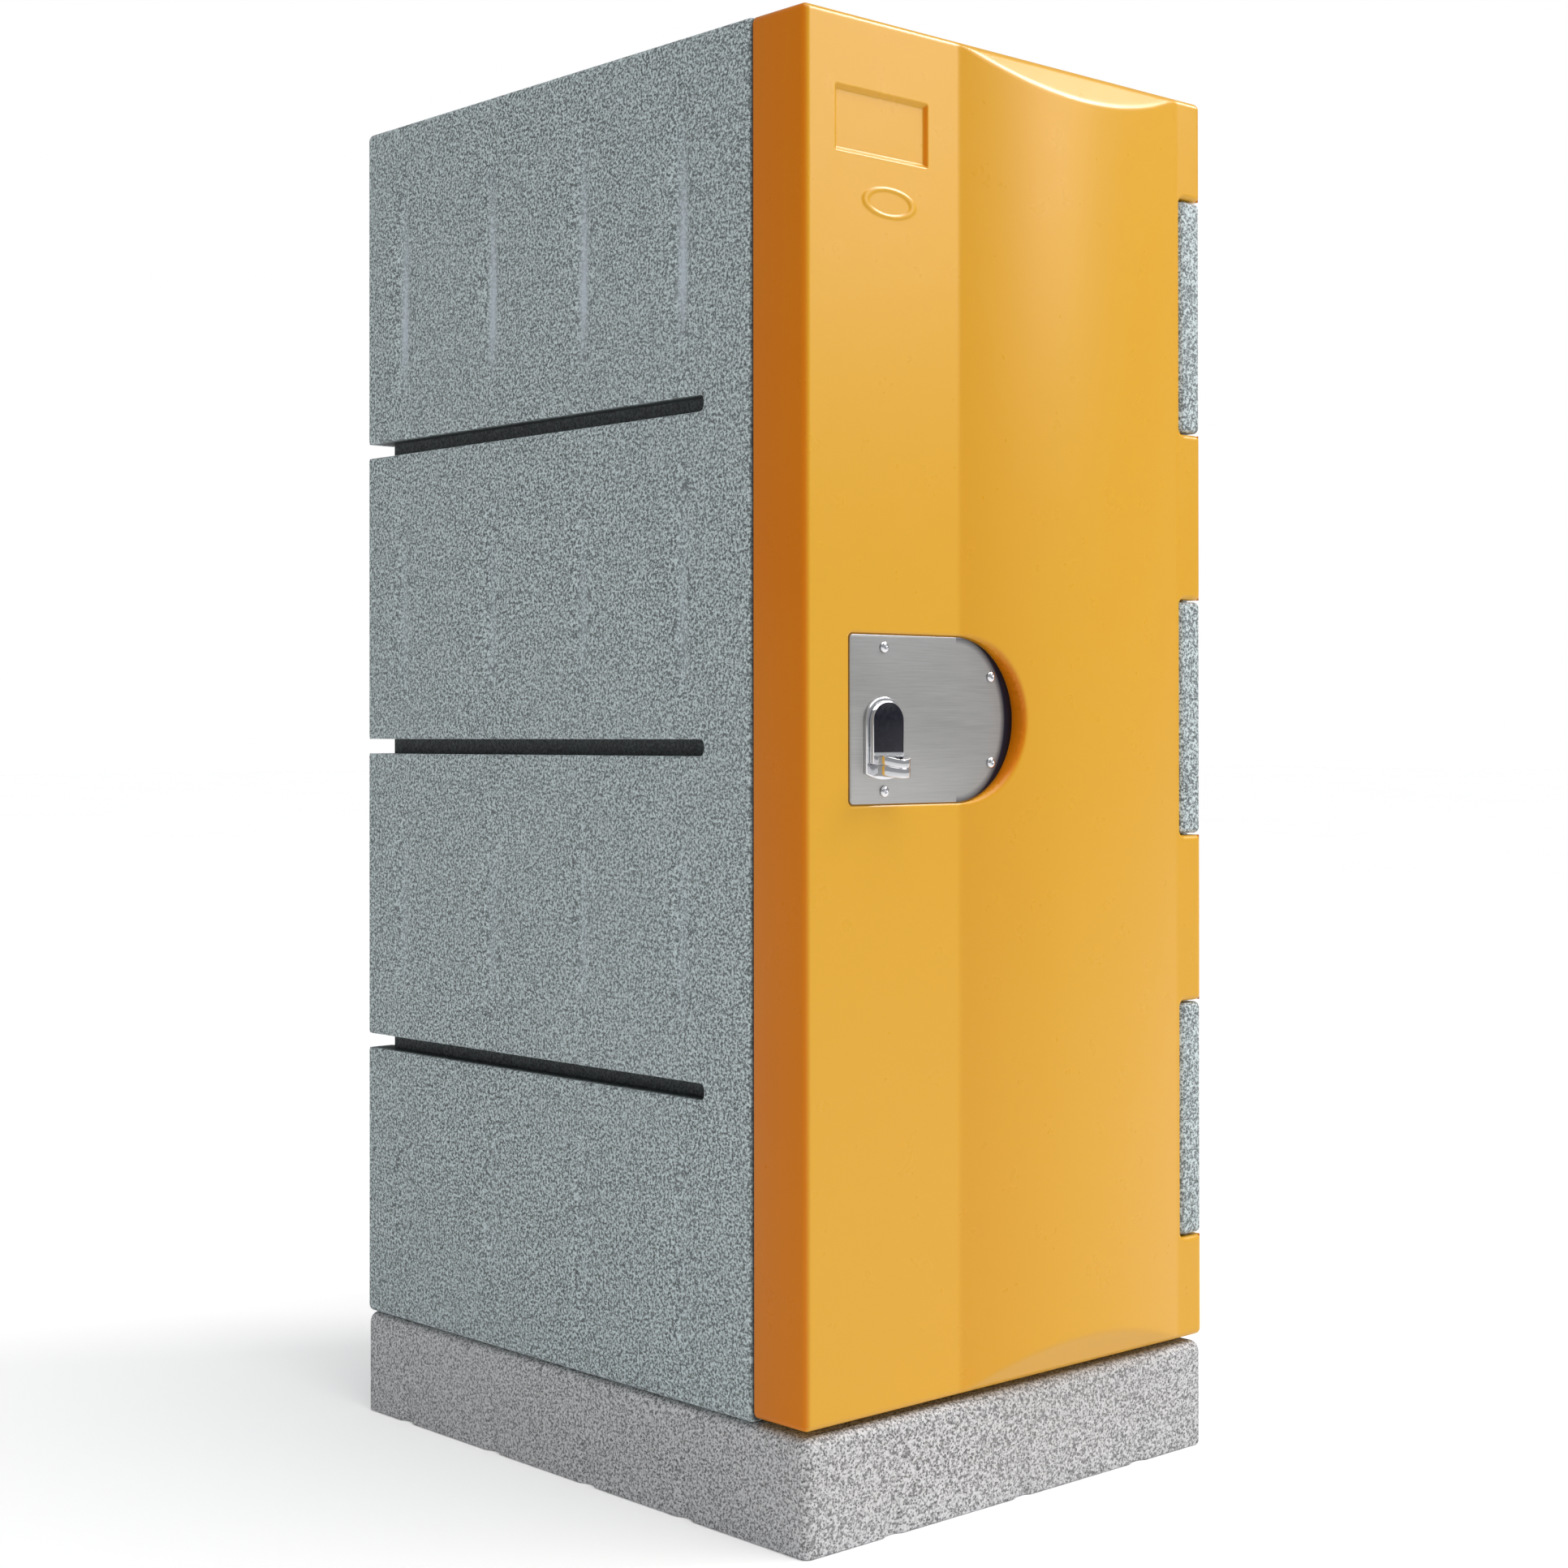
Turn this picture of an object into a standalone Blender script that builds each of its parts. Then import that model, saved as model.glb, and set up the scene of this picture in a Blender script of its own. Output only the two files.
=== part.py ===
"""Single-door plastic locker on a plinth: moulded body panels, a deep tray door with a
continuous rod hinge down its right edge, and a padlock hasp that turns an inner cam.

Metres, +Z up. The front faces -Y, +X is to the right of someone facing the front, and the
origin is on the floor under the middle of the object.
"""

import math

import bmesh
import bpy
from mathutils import Matrix, Vector

MM = 0.001
GAP = 0.3  # clearance between pieces that touch

# Driving dimensions, in millimetres
WIDTH = 382.0
DEPTH = 502.0  # from the door's flat front to the back
HEIGHT = 968.0
PLINTH_HEIGHT = 75.0
WALL = 22.0  # double-wall body panels
LATCH_REACH = 20.5  # how far the hasp stands proud of the door's flat front

HALF = WIDTH / 2
FRONT = (LATCH_REACH - DEPTH) / 2  # y of the door's flat front
REAR = FRONT + DEPTH
DOOR_DEPTH = 50.0
DOOR_CLEARANCE = 1.2
BODY_FRONT = FRONT + DOOR_DEPTH + DOOR_CLEARANCE
BODY_BOTTOM = PLINTH_HEIGHT + GAP
DOOR_BOTTOM, DOOR_TOP = 79.2, 967.0
DOOR_RIGHT = 166.8  # where the door's main moulding ends and its hinge strip starts
DOOR_WALL = 4.0

# Hinge down the right edge
HINGE_X, HINGE_Y = HALF - 9.5, FRONT + 9.5
ROD_RADIUS, ROD_HOLE = 3.0, 3.4
KNUCKLE_CORNER, KNUCKLE_SWING_CORNER = 4.5, 6.6  # the door's edge swings past the second
KNUCKLE_CENTRES = (235.8, 523.7, 811.6)
KNUCKLE_HALF = 83.1
KNUCKLE_GAP = 1.5

# Horizontal grooves round the body
GROOVE_CENTRES = (280.2, 503.3, 727.0)
GROOVE_HEIGHT, GROOVE_DEPTH = 11.0, 15.0
GROOVE_START = FRONT + 100.0

# Crowned right part of the door
CROWN_LEFT, CROWN_RIGHT = -HALF + 134.5, -HALF + 354.5
CROWN_HEIGHT, CROWN_SKEW = 12.6, 1.0
CROWN_END_SLOPE = 1.8  # how far the crown's end caps lean back for each millimetre it rises

# Lock plate, a D with its round end to the right
PLATE_LEFT, PLATE_ARC_X = -HALF + 37.8, -HALF + 132.2
PLATE_Z, PLATE_RADIUS = 521.4, 53.9
PLATE_THICK, PLATE_INSET, RECESS_DEPTH, RECESS_MARGIN = 1.5, 0.4, 2.2, 1.0
PLATE_SCREWS = (
    (-HALF + 67.4, 46.0),
    (-HALF + 67.4, -46.0),
    (-HALF + 164.5, 28.5),
    (-HALF + 164.5, -28.5),
)

# Padlock hasp and its cam
LATCH_X, LATCH_Z = -HALF + 66.2, 519.4
FLANGE_HALF, FLANGE_FOOT, FLANGE_THICK = 16.4, 36.5, 2.2
LEVER_HALF, LEVER_THICK = 13.8, 3.0
TAB_HALF, TAB_STRAIGHT, TAB_TOP = 11.0, 9.5, 23.5
TAB_SPLIT, TAB_FOOT = 29.0, 35.4  # radii about the latch axis
PADLOCK_HOLE, PADLOCK_Y = 4.0, FRONT - 10.5
BARREL_RADIUS, SPINDLE_RADIUS, STUB_RADIUS = 9.0, 4.0, 2.7
CAM_REACH, CAM_HALF, CAM_THICK = 33.5, 8.0, 3.0
CAM_FRONT = BODY_FRONT + 6.2
STRIKE_FRONT, STRIKE_THICK, STRIKE_REACH = BODY_FRONT + 3.5, 2.0, 20.0

NAMEPLATE = (-HALF + 26.6, -HALF + 105.9, 879.4, 919.4, 2.5)  # left, right, bottom, top, depth


def clear_scene():
    for obj in list(bpy.data.objects):
        bpy.data.objects.remove(obj, do_unlink=True)


def collection(name, hidden=False):
    made = bpy.data.collections.new(name)
    bpy.context.scene.collection.children.link(made)
    made.hide_render = hidden
    return made


def material(name, colour, roughness, metallic=0.0):
    made = bpy.data.materials.new(name)
    made.use_nodes = True
    shader = made.node_tree.nodes["Principled BSDF"]
    shader.inputs["Base Color"].default_value = (*colour, 1.0)
    shader.inputs["Roughness"].default_value = roughness
    shader.inputs["Metallic"].default_value = metallic
    return made


clear_scene()
PARTS = collection("plastic_locker")
CUTTERS = collection("cutters", hidden=True)
SPECKLED = material("speckled_grey_plastic", (0.33, 0.36, 0.37), 0.6)
ORANGE = material("orange_plastic", (0.78, 0.40, 0.05), 0.25)
STEEL = material("brushed_steel", (0.55, 0.54, 0.52), 0.35, 1.0)
CHROME = material("chrome", (0.8, 0.8, 0.8), 0.08, 1.0)
BLACK = material("black_plastic", (0.02, 0.02, 0.025), 0.4)
ZINC = material("zinc_plated_steel", (0.6, 0.6, 0.58), 0.4, 1.0)


# ---- Shape helpers: every size is in millimetres ----

# How prism() stands a flat outline up, and the way its thickness runs
PLANES = {
    "plan": Matrix.Identity(4),
    "front": Matrix.Rotation(math.pi / 2, 4, "X"),
    "side": Matrix(((0, 0, 1, 0), (1, 0, 0, 0), (0, 1, 0, 0), (0, 0, 0, 1))),
}
PUSH = {"plan": Vector((0, 0, 1)), "front": Vector((0, 1, 0)), "side": Vector((1, 0, 0))}


def finish_object(name, mesh_data, colour):
    """An object with a material is a part. One without is a cutter, or a shape to be joined on."""
    mesh = bpy.data.meshes.new(name)
    bmesh.ops.recalc_face_normals(mesh_data, faces=mesh_data.faces)
    mesh_data.to_mesh(mesh)
    mesh_data.free()
    obj = bpy.data.objects.new(name, mesh)
    if colour:
        mesh.materials.append(colour)
        PARTS.objects.link(obj)
    else:
        CUTTERS.objects.link(obj)
        obj.hide_render = True
        obj.display_type = "WIRE"
    return obj


def box(name, low, high, colour=None, bevel=0.0, bevel_edges=None, segments=2):
    """A box between two corners. bevel_edges says which edges are rounded, from their two ends."""
    data = bmesh.new()
    bmesh.ops.create_cube(data, size=1.0)
    low, high = Vector(low) * MM, Vector(high) * MM
    size = high - low
    bmesh.ops.scale(data, vec=size, verts=data.verts)
    bmesh.ops.translate(data, vec=(low + high) / 2, verts=data.verts)
    if bevel:
        picked = [e for e in data.edges if bevel_edges is None or bevel_edges(*(v.co / MM for v in e.verts))]
        bmesh.ops.bevel(
            data, geom=picked, offset=bevel * MM, segments=segments, profile=0.5, affect="EDGES"
        )
    return finish_object(name, data, colour)


def cylinder(name, centre, radius, length, axis="Z", colour=None, sides=24, start_turn=0.0):
    """A cylinder about centre; its mesh is smooth round the side and its origin is on its axis."""
    data = bmesh.new()
    bmesh.ops.create_cone(
        data, cap_ends=True, segments=sides, radius1=radius * MM, radius2=radius * MM, depth=length * MM
    )
    bmesh.ops.rotate(data, matrix=Matrix.Rotation(start_turn, 3, "Z"), verts=data.verts)
    turn = {"X": Matrix.Rotation(math.pi / 2, 3, "Y"), "Y": Matrix.Rotation(math.pi / 2, 3, "X")}
    if axis in turn:
        bmesh.ops.rotate(data, matrix=turn[axis], verts=data.verts)
    obj = finish_object(name, data, colour)
    obj.location = Vector(centre) * MM
    smooth(obj)
    return obj


def prism(name, outline, plane, low, high, colour=None):
    """A flat outline of (across, up) points, as thick as from low to high.
    plane "plan" is seen from above, so across is X, up is Y and low and high are heights. In "front",
    across is X and up is Z. In "side", across is Y and up is Z."""
    curve = bpy.data.curves.new(name, "CURVE")
    curve.dimensions = "2D"
    curve.fill_mode = "BOTH"
    curve.extrude = (high - low) / 2 * MM
    spline = curve.splines.new("POLY")
    spline.points.add(len(outline) - 1)
    for point, (across, up) in zip(spline.points, outline):
        point.co = (across * MM, up * MM, 0, 1)
    spline.use_cyclic_u = True
    flat = bpy.data.objects.new(name, curve)
    CUTTERS.objects.link(flat)
    flat.matrix_world = Matrix.Translation(PUSH[plane] * (low + high) / 2 * MM) @ PLANES[plane]
    bpy.context.view_layer.update()
    mesh = bpy.data.meshes.new_from_object(flat.evaluated_get(bpy.context.evaluated_depsgraph_get()))
    data = bmesh.new()
    data.from_mesh(mesh)
    bmesh.ops.transform(data, matrix=flat.matrix_world, verts=data.verts)
    bmesh.ops.remove_doubles(data, verts=data.verts, dist=1e-6)
    bpy.data.objects.remove(flat)
    bpy.data.meshes.remove(mesh)
    return finish_object(name, data, colour)


def arc(centre_x, centre_y, radius, start, end, steps):
    """Points on an arc, with both ends, from start to end in degrees."""
    turns = [math.radians(start + (end - start) * i / steps) for i in range(steps + 1)]
    return [(centre_x + radius * math.cos(t), centre_y + radius * math.sin(t)) for t in turns]


def smooth(obj):
    obj.data.shade_smooth()
    obj.data.set_sharp_from_angle(angle=math.radians(35))


def attach(child, parent):
    """The child keeps its place and follows its parent from then on."""
    child.parent = parent
    child.matrix_parent_inverse = Matrix.Translation(-parent.location)


def boolean(target, tool, operation):
    step = target.modifiers.new(tool.name, "BOOLEAN")
    step.operation = operation
    step.object = tool
    step.solver = "EXACT"
    attach(tool, target)


def cut(target, *tools):
    for tool in tools:
        boolean(target, tool, "DIFFERENCE")


def join(target, *tools):
    for tool in tools:
        boolean(target, tool, "UNION")


# ---- Plinth and body panels ----


def plinth():
    """The base block. Only its floor edges stay sharp."""
    above_floor = lambda a, b: max(a.z, b.z) > 1
    made = box(
        "plinth", (-HALF, FRONT, 0), (HALF, REAR, PLINTH_HEIGHT), SPECKLED, 7.0, above_floor, 3
    )
    for place in dowel_places():
        cut(made, cylinder("plinth_hole", (*place, PLINTH_HEIGHT - 5), 6.4, 15, sides=12))
    return made


def dowel_places():
    return [(x, y) for x in (-140, 140) for y in (-150, 200)]


def plinth_dowels():
    """Four pegs that key the body onto its plinth."""
    for number, place in enumerate(dowel_places(), 1):
        cylinder(f"plinth_dowel_{number}", (*place, PLINTH_HEIGHT + 0.5), 6.0, 24, colour=BLACK, sides=12)


def side_panel(name, side):
    """side is -1 for the left panel and 1 for the right one."""
    outer, inner = side * HALF, side * (HALF - WALL)
    low_x, high_x = min(outer, inner), max(outer, inner)
    outer_edge = lambda a, b: abs(a.x) > HALF - 1 and abs(b.x) > HALF - 1
    panel = box(
        name, (low_x, BODY_FRONT, BODY_BOTTOM), (high_x, REAR, HEIGHT), SPECKLED, 4.5, outer_edge
    )
    for z in GROOVE_CENTRES:
        cut(panel, side_groove(side, z), rear_groove(side, z))
    for z in (BODY_BOTTOM + WALL / 2, HEIGHT - WALL / 2):
        slot = box(
            "tongue_slot",
            (side * (inner * side - 1), BODY_FRONT + 19.7, z - 4.3),
            (side * (inner * side + 6.3), REAR - WALL - 20, z + 4.3),
        )
        cut(panel, slot)
    back_slot = box(
        "back_tongue_slot",
        (side * (inner * side - 1), REAR - 20.1, BODY_BOTTOM + 40),
        (side * (inner * side + 6.3), REAR - 15.5, HEIGHT - 40),
    )
    cut(panel, back_slot)
    return panel


def side_groove(side, z):
    """A groove with a round front end, open at the back of the panel."""
    rounded = arc(GROOVE_START + GROOVE_HEIGHT / 2, z, GROOVE_HEIGHT / 2, 270, 90, 6)
    outline = rounded + [(REAR + 5, z + GROOVE_HEIGHT / 2), (REAR + 5, z - GROOVE_HEIGHT / 2)]
    low, high = sorted((side * (HALF - GROOVE_DEPTH), side * (HALF + 5)))
    return prism("side_groove", outline, "side", low, high)


def rear_groove(side, z):
    """Where the groove turns the corner onto the back of a side panel."""
    return box(
        "rear_groove",
        (side * (HALF - WALL - 1), REAR - GROOVE_DEPTH, z - GROOVE_HEIGHT / 2),
        (side * (HALF + 5), REAR + 5, z + GROOVE_HEIGHT / 2),
    )


def back_panel():
    inner = HALF - WALL - GAP
    panel = box("back_panel", (-inner, REAR - WALL, BODY_BOTTOM), (inner, REAR, HEIGHT), SPECKLED)
    tongue = box(
        "back_tongue",
        (-inner - 5.7, REAR - 19.8, BODY_BOTTOM + 40.3),
        (inner + 5.7, REAR - 15.8, HEIGHT - 40.3),
    )
    join(panel, tongue)
    for z in GROOVE_CENTRES:
        groove = box(
            "back_groove",
            (-inner - 1, REAR - GROOVE_DEPTH, z - GROOVE_HEIGHT / 2),
            (inner + 1, REAR + 5, z + GROOVE_HEIGHT / 2),
        )
        cut(panel, groove)
    return panel


def level_panel(name, low):
    """The top or the bottom of the compartment, with a tongue into each side panel."""
    inner = HALF - WALL - GAP
    panel = box(
        name, (-inner, BODY_FRONT, low), (inner, REAR - WALL - GAP, low + WALL), SPECKLED
    )
    middle = low + WALL / 2
    tongue = box(
        "level_tongue",
        (-inner - 5.7, BODY_FRONT + 20, middle - 4),
        (inner + 5.7, REAR - WALL - 20.3, middle + 4),
    )
    join(panel, tongue)
    return panel


def hinge_knuckles(panel):
    """Three long knuckles that reach forward from the right panel, one between each pair of door barrels."""
    left, right, front = DOOR_RIGHT + 0.8, HALF - GAP, FRONT + GAP
    corner, swing = KNUCKLE_CORNER, KNUCKLE_SWING_CORNER
    outline = arc(left + swing, front + swing, swing, 180, 270, 6)
    outline += arc(right - corner, front + corner, corner, 270, 360, 4)
    outline += [(right, BODY_FRONT + 6), (left, BODY_FRONT + 6)]
    for z in KNUCKLE_CENTRES:
        join(panel, prism("knuckle", outline, "plan", z - KNUCKLE_HALF, z + KNUCKLE_HALF))
    cut(panel, rod_hole(KNUCKLE_CENTRES[0] - 100, KNUCKLE_CENTRES[2] + 100))


def rod_hole(low, high):
    return cylinder("rod_hole", (HINGE_X, HINGE_Y, (low + high) / 2), ROD_HOLE, high - low, sides=16)


def body():
    plinth()
    plinth_dowels()
    side_panel("left_side_panel", -1)
    hinge_knuckles(side_panel("right_side_panel", 1))
    back_panel()
    level_panel("top_panel", HEIGHT - WALL)
    bottom = level_panel("bottom_panel", BODY_BOTTOM)
    for place in dowel_places():
        cut(bottom, cylinder("bottom_hole", (*place, BODY_BOTTOM + 4), 6.4, 20, sides=12))
    rod_low, rod_high = DOOR_BOTTOM + 8, DOOR_TOP - 12
    middle = (HINGE_X, HINGE_Y, (rod_low + rod_high) / 2)
    cylinder("hinge_rod", middle, ROD_RADIUS, rod_high - rod_low, colour=ZINC, sides=16)


# ---- Door ----


def crown_rise(x):
    """How far the door's crowned part stands in front of its flat part, at x."""
    share = ((x - CROWN_LEFT) / (CROWN_RIGHT - CROWN_LEFT)) ** CROWN_SKEW
    return CROWN_HEIGHT * 4 * share * (1 - share)


def crown():
    """The crowned part, with an end cap that leans back at the top and at the bottom."""
    steps = 16
    across = [CROWN_LEFT + (CROWN_RIGHT - CROWN_LEFT) * i / steps for i in range(steps + 1)]
    outline = [(x, FRONT - max(crown_rise(x), 0)) for x in across]
    outline += [(CROWN_RIGHT, FRONT + 2), (CROWN_LEFT, FRONT + 2)]
    made = prism("door_crown", outline, "plan", DOOR_BOTTOM + 1.6, DOOR_TOP - 1.6)
    data = bmesh.new()
    data.from_mesh(made.data)
    for z, up in ((DOOR_BOTTOM + 1.6, -1), (DOOR_TOP - 1.6, 1)):
        # The cap starts in the middle of the tray's rounded edge and leans back as it rises.
        plane_normal = Vector((0, -CROWN_END_SLOPE, up))
        everything = list(data.verts) + list(data.edges) + list(data.faces)
        start = Vector((0, FRONT + 1.3, z)) * MM
        split = bmesh.ops.bisect_plane(
            data, geom=everything, plane_co=start, plane_no=plane_normal, clear_outer=True
        )
        rim = [e for e in split["geom_cut"] if isinstance(e, bmesh.types.BMEdge)]
        bmesh.ops.holes_fill(data, edges=rim)
    bmesh.ops.recalc_face_normals(data, faces=data.faces)
    data.to_mesh(made.data)
    data.free()
    return made


def plate_outline(grow=0.0, corner=3.0):
    """The D outline of the lock plate, grown outwards by grow."""
    radius = PLATE_RADIUS + grow
    left = PLATE_LEFT - grow
    points = arc(PLATE_ARC_X, PLATE_Z, radius, -90, 90, 20)
    points += arc(left + corner, PLATE_Z + radius - corner, corner, 90, 180, 2)
    points += arc(left + corner, PLATE_Z - radius + corner, corner, 180, 270, 2)
    return points


def door_screw_places():
    """Fixings of the door's inner panel, as (x, z)."""
    return [(x, z) for x in (-160, 145) for z in (115, 350, 930)]


def door_shell():
    """A deep tray with its open side to the back, crowned in front, with hinge barrels on its right."""
    def rounded(a, b):
        along_depth = abs(a.y - b.y) > 1
        return along_depth or max(a.y, b.y) < FRONT + 1

    shell = box(
        "door_shell",
        (-HALF, FRONT, DOOR_BOTTOM),
        (DOOR_RIGHT, FRONT + DOOR_DEPTH, DOOR_TOP),
        ORANGE, 4.5, rounded,
    )
    join(shell, crown())
    inside = box(
        "door_inside",
        (-HALF + DOOR_WALL, FRONT + DOOR_WALL, DOOR_BOTTOM + DOOR_WALL),
        (DOOR_RIGHT - DOOR_WALL, FRONT + DOOR_DEPTH + 5, DOOR_TOP - DOOR_WALL),
    )
    cut(shell, inside)
    for x, z in door_screw_places():
        join(shell, cylinder("screw_boss", (x, FRONT + 23.5, z), 6.0, 41, "Y", sides=10))
        cut(shell, cylinder("boss_hole", (x, FRONT + 36, z), 2.2, 20, "Y", sides=8))
    for low, high in door_barrels():
        front_right = lambda a, b: min(a.x, b.x) > HALF - 1 and abs(a.z - b.z) > 1
        join(
            shell,
            box(
                "door_barrel",
                (DOOR_RIGHT - 2.5, FRONT + 0.4, low),
                (HALF, HINGE_Y + 36.0, high),
                bevel=3.5, bevel_edges=front_right,
            ),
        )
    recess = prism("plate_recess", plate_outline(RECESS_MARGIN), "front", FRONT - 20, FRONT + RECESS_DEPTH)
    left, right, low, high, depth = NAMEPLATE
    nameplate = box("nameplate_recess", (left, FRONT - 5, low), (right, FRONT + depth, high))
    cut(
        shell,
        recess,
        nameplate,
        cylinder("lock_hole", (LATCH_X, FRONT, LATCH_Z), BARREL_RADIUS + 0.6, 30, "Y", sides=20),
        rod_hole(DOOR_BOTTOM + 6, DOOR_TOP + 5),
    )
    for x, z in PLATE_SCREWS:
        cut(shell, cylinder("plate_screw_hole", (x, FRONT, PLATE_Z + z), 2.0, 30, "Y", sides=8))
    return shell


def door_barrels():
    """The heights of the door's hinge barrels, which fill what the body's knuckles leave."""
    reach = KNUCKLE_HALF + KNUCKLE_GAP
    lows = [DOOR_BOTTOM] + [z + reach for z in KNUCKLE_CENTRES]
    highs = [z - reach for z in KNUCKLE_CENTRES] + [DOOR_TOP]
    return list(zip(lows, highs))


def door_inner_panel():
    """Closes the back of the tray."""
    margin = DOOR_WALL + 0.5
    back = FRONT + DOOR_DEPTH - 2
    panel = box(
        "door_inner_panel",
        (-HALF + margin, back - 3, DOOR_BOTTOM + margin),
        (DOOR_RIGHT - margin, back, DOOR_TOP - margin),
        ORANGE,
    )
    cut(panel, cylinder("spindle_hole", (LATCH_X, back, LATCH_Z), 6.0, 20, "Y", sides=16))
    for x, z in door_screw_places():
        cut(panel, cylinder("panel_screw_hole", (x, back, z), 2.4, 20, "Y", sides=8))
    for number, (x, z) in enumerate(door_screw_places(), 1):
        screw(f"door_screw_{number}", (x, back + GAP, z), 1, 1.8, 12.0, 3.8, 1.6, ZINC)


def screw(name, seat, way, shank_radius, length, head_radius, head_height, colour):
    """A pan-head screw along Y. seat is under its head; way is +1 with the head to the back."""
    x, y, z = seat
    made = cylinder(name, (x, y + way * head_height / 2, z), head_radius, head_height, "Y", colour, sides=12)
    middle = (x, y + way * (0.2 - length) / 2, z)
    shank = cylinder(f"{name}_shank", middle, shank_radius, length + 0.2, "Y", sides=8)
    join(made, shank)


def lock_plate():
    front = FRONT + PLATE_INSET
    plate = prism("lock_plate", plate_outline(), "front", front, front + PLATE_THICK, STEEL)
    cut(plate, cylinder("plate_lock_hole", (LATCH_X, FRONT, LATCH_Z), BARREL_RADIUS + 0.6, 20, "Y", sides=20))
    for number, (x, z) in enumerate(PLATE_SCREWS, 1):
        cut(plate, cylinder("plate_hole", (x, FRONT, PLATE_Z + z), 2.0, 10, "Y", sides=8))
        screw(f"plate_screw_{number}", (x, front - GAP, PLATE_Z + z), -1, 1.6, 7.0, 3.6, 1.2, CHROME)


# ---- Padlock hasp: a fixed rosette, a turning lever, a spindle and a cam ----


def hasp_outline(half, foot_radius, steps=8):
    """An arch with a round top about the latch axis and a foot that is an arc about it too."""
    foot_angle = math.degrees(math.acos(half / foot_radius))
    top = arc(LATCH_X, LATCH_Z, half, 0, 180, steps)
    foot = arc(LATCH_X, LATCH_Z, foot_radius, 180 + foot_angle, 360 - foot_angle, 4)
    return top + foot


def hasp_tab(name, inner, outer, back):
    """A padlock tab seen from above: straight sides and a round nose; its faces are arcs about the latch axis."""
    nose_rise = LATCH_REACH - TAB_STRAIGHT
    nose_radius = (TAB_HALF**2 + nose_rise**2) / (2 * nose_rise)
    nose_angle = math.degrees(math.asin(TAB_HALF / nose_radius))
    nose = arc(LATCH_X, FRONT - LATCH_REACH + nose_radius, nose_radius, 270 - nose_angle, 270 + nose_angle, 6)
    outline = nose + [(LATCH_X + TAB_HALF, back), (LATCH_X - TAB_HALF, back)]
    tab = prism(name, outline, "plan", LATCH_Z - outer - 4, LATCH_Z - inner)
    keep = cylinder(f"{name}_round", (LATCH_X, FRONT, LATCH_Z), outer, 60, "Y", sides=64)
    boolean(tab, keep, "INTERSECT")
    return tab


def padlock_hole(low, high):
    return cylinder(
        "padlock_hole", (LATCH_X, PADLOCK_Y, (low + high) / 2), PADLOCK_HOLE, high - low,
        sides=16, start_turn=math.pi / 16,
    )


def latch_rosette():
    """The fixed half: a flange on the plate, a threaded barrel through the door, and the lower tab."""
    back = FRONT + PLATE_INSET - GAP
    front = back - FLANGE_THICK
    made = prism("latch_rosette", hasp_outline(FLANGE_HALF, FLANGE_FOOT), "front", front, back, CHROME)
    barrel = cylinder("rosette_barrel", (LATCH_X, back + 9, LATCH_Z), BARREL_RADIUS, 20, "Y", sides=20)
    tab = hasp_tab("rosette_tab", TAB_SPLIT, TAB_FOOT, back - 1)
    middle = (LATCH_X, FRONT - 20 - FLANGE_THICK, LATCH_Z)
    under = cylinder("rosette_under", middle, TAB_SPLIT + 0.5, 40, "Y", sides=64)
    cut(tab, under)
    join(made, barrel, tab)
    cut(
        made,
        cylinder("rosette_bore", (LATCH_X, FRONT, LATCH_Z), SPINDLE_RADIUS + 0.4, 80, "Y", sides=20),
        padlock_hole(LATCH_Z - 45, LATCH_Z - 25),
    )
    nut_front = FRONT + DOOR_WALL + GAP
    nut = cylinder("latch_nut", (LATCH_X, nut_front + 3, LATCH_Z), 14.0, 6, "Y", ZINC, sides=6)
    cut(nut, cylinder("latch_nut_bore", (LATCH_X, nut_front, LATCH_Z), BARREL_RADIUS + 0.4, 30, "Y", sides=20))


def lever_front():
    return FRONT + PLATE_INSET - 2 * GAP - FLANGE_THICK - LEVER_THICK


def turn_lever():
    """The turning half: an arch with a black inlay and the upper tab."""
    front = lever_front()
    lever = prism("turn_lever", hasp_outline(LEVER_HALF, TAB_SPLIT), "front", front, front + LEVER_THICK, CHROME)
    tab = hasp_tab("lever_tab", TAB_TOP, TAB_SPLIT, front + 1)
    join(lever, tab)
    inlay_low = LATCH_Z - 19.3
    half, edge = LEVER_HALF - 0.7, 0.3

    def inlay_outline(grow):
        top = arc(LATCH_X, LATCH_Z, half + grow, 0, 180, 10)
        return top + [(LATCH_X - half - grow, inlay_low - grow), (LATCH_X + half + grow, inlay_low - grow)]

    pocket = prism("inlay_pocket", inlay_outline(0.0), "front", front - 2, front + 1.1)
    cut(lever, pocket, padlock_hole(LATCH_Z - 45, LATCH_Z - 21.5))
    prism("lever_inlay", inlay_outline(-edge), "front", front + 0.1, front + 0.8, BLACK)


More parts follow.
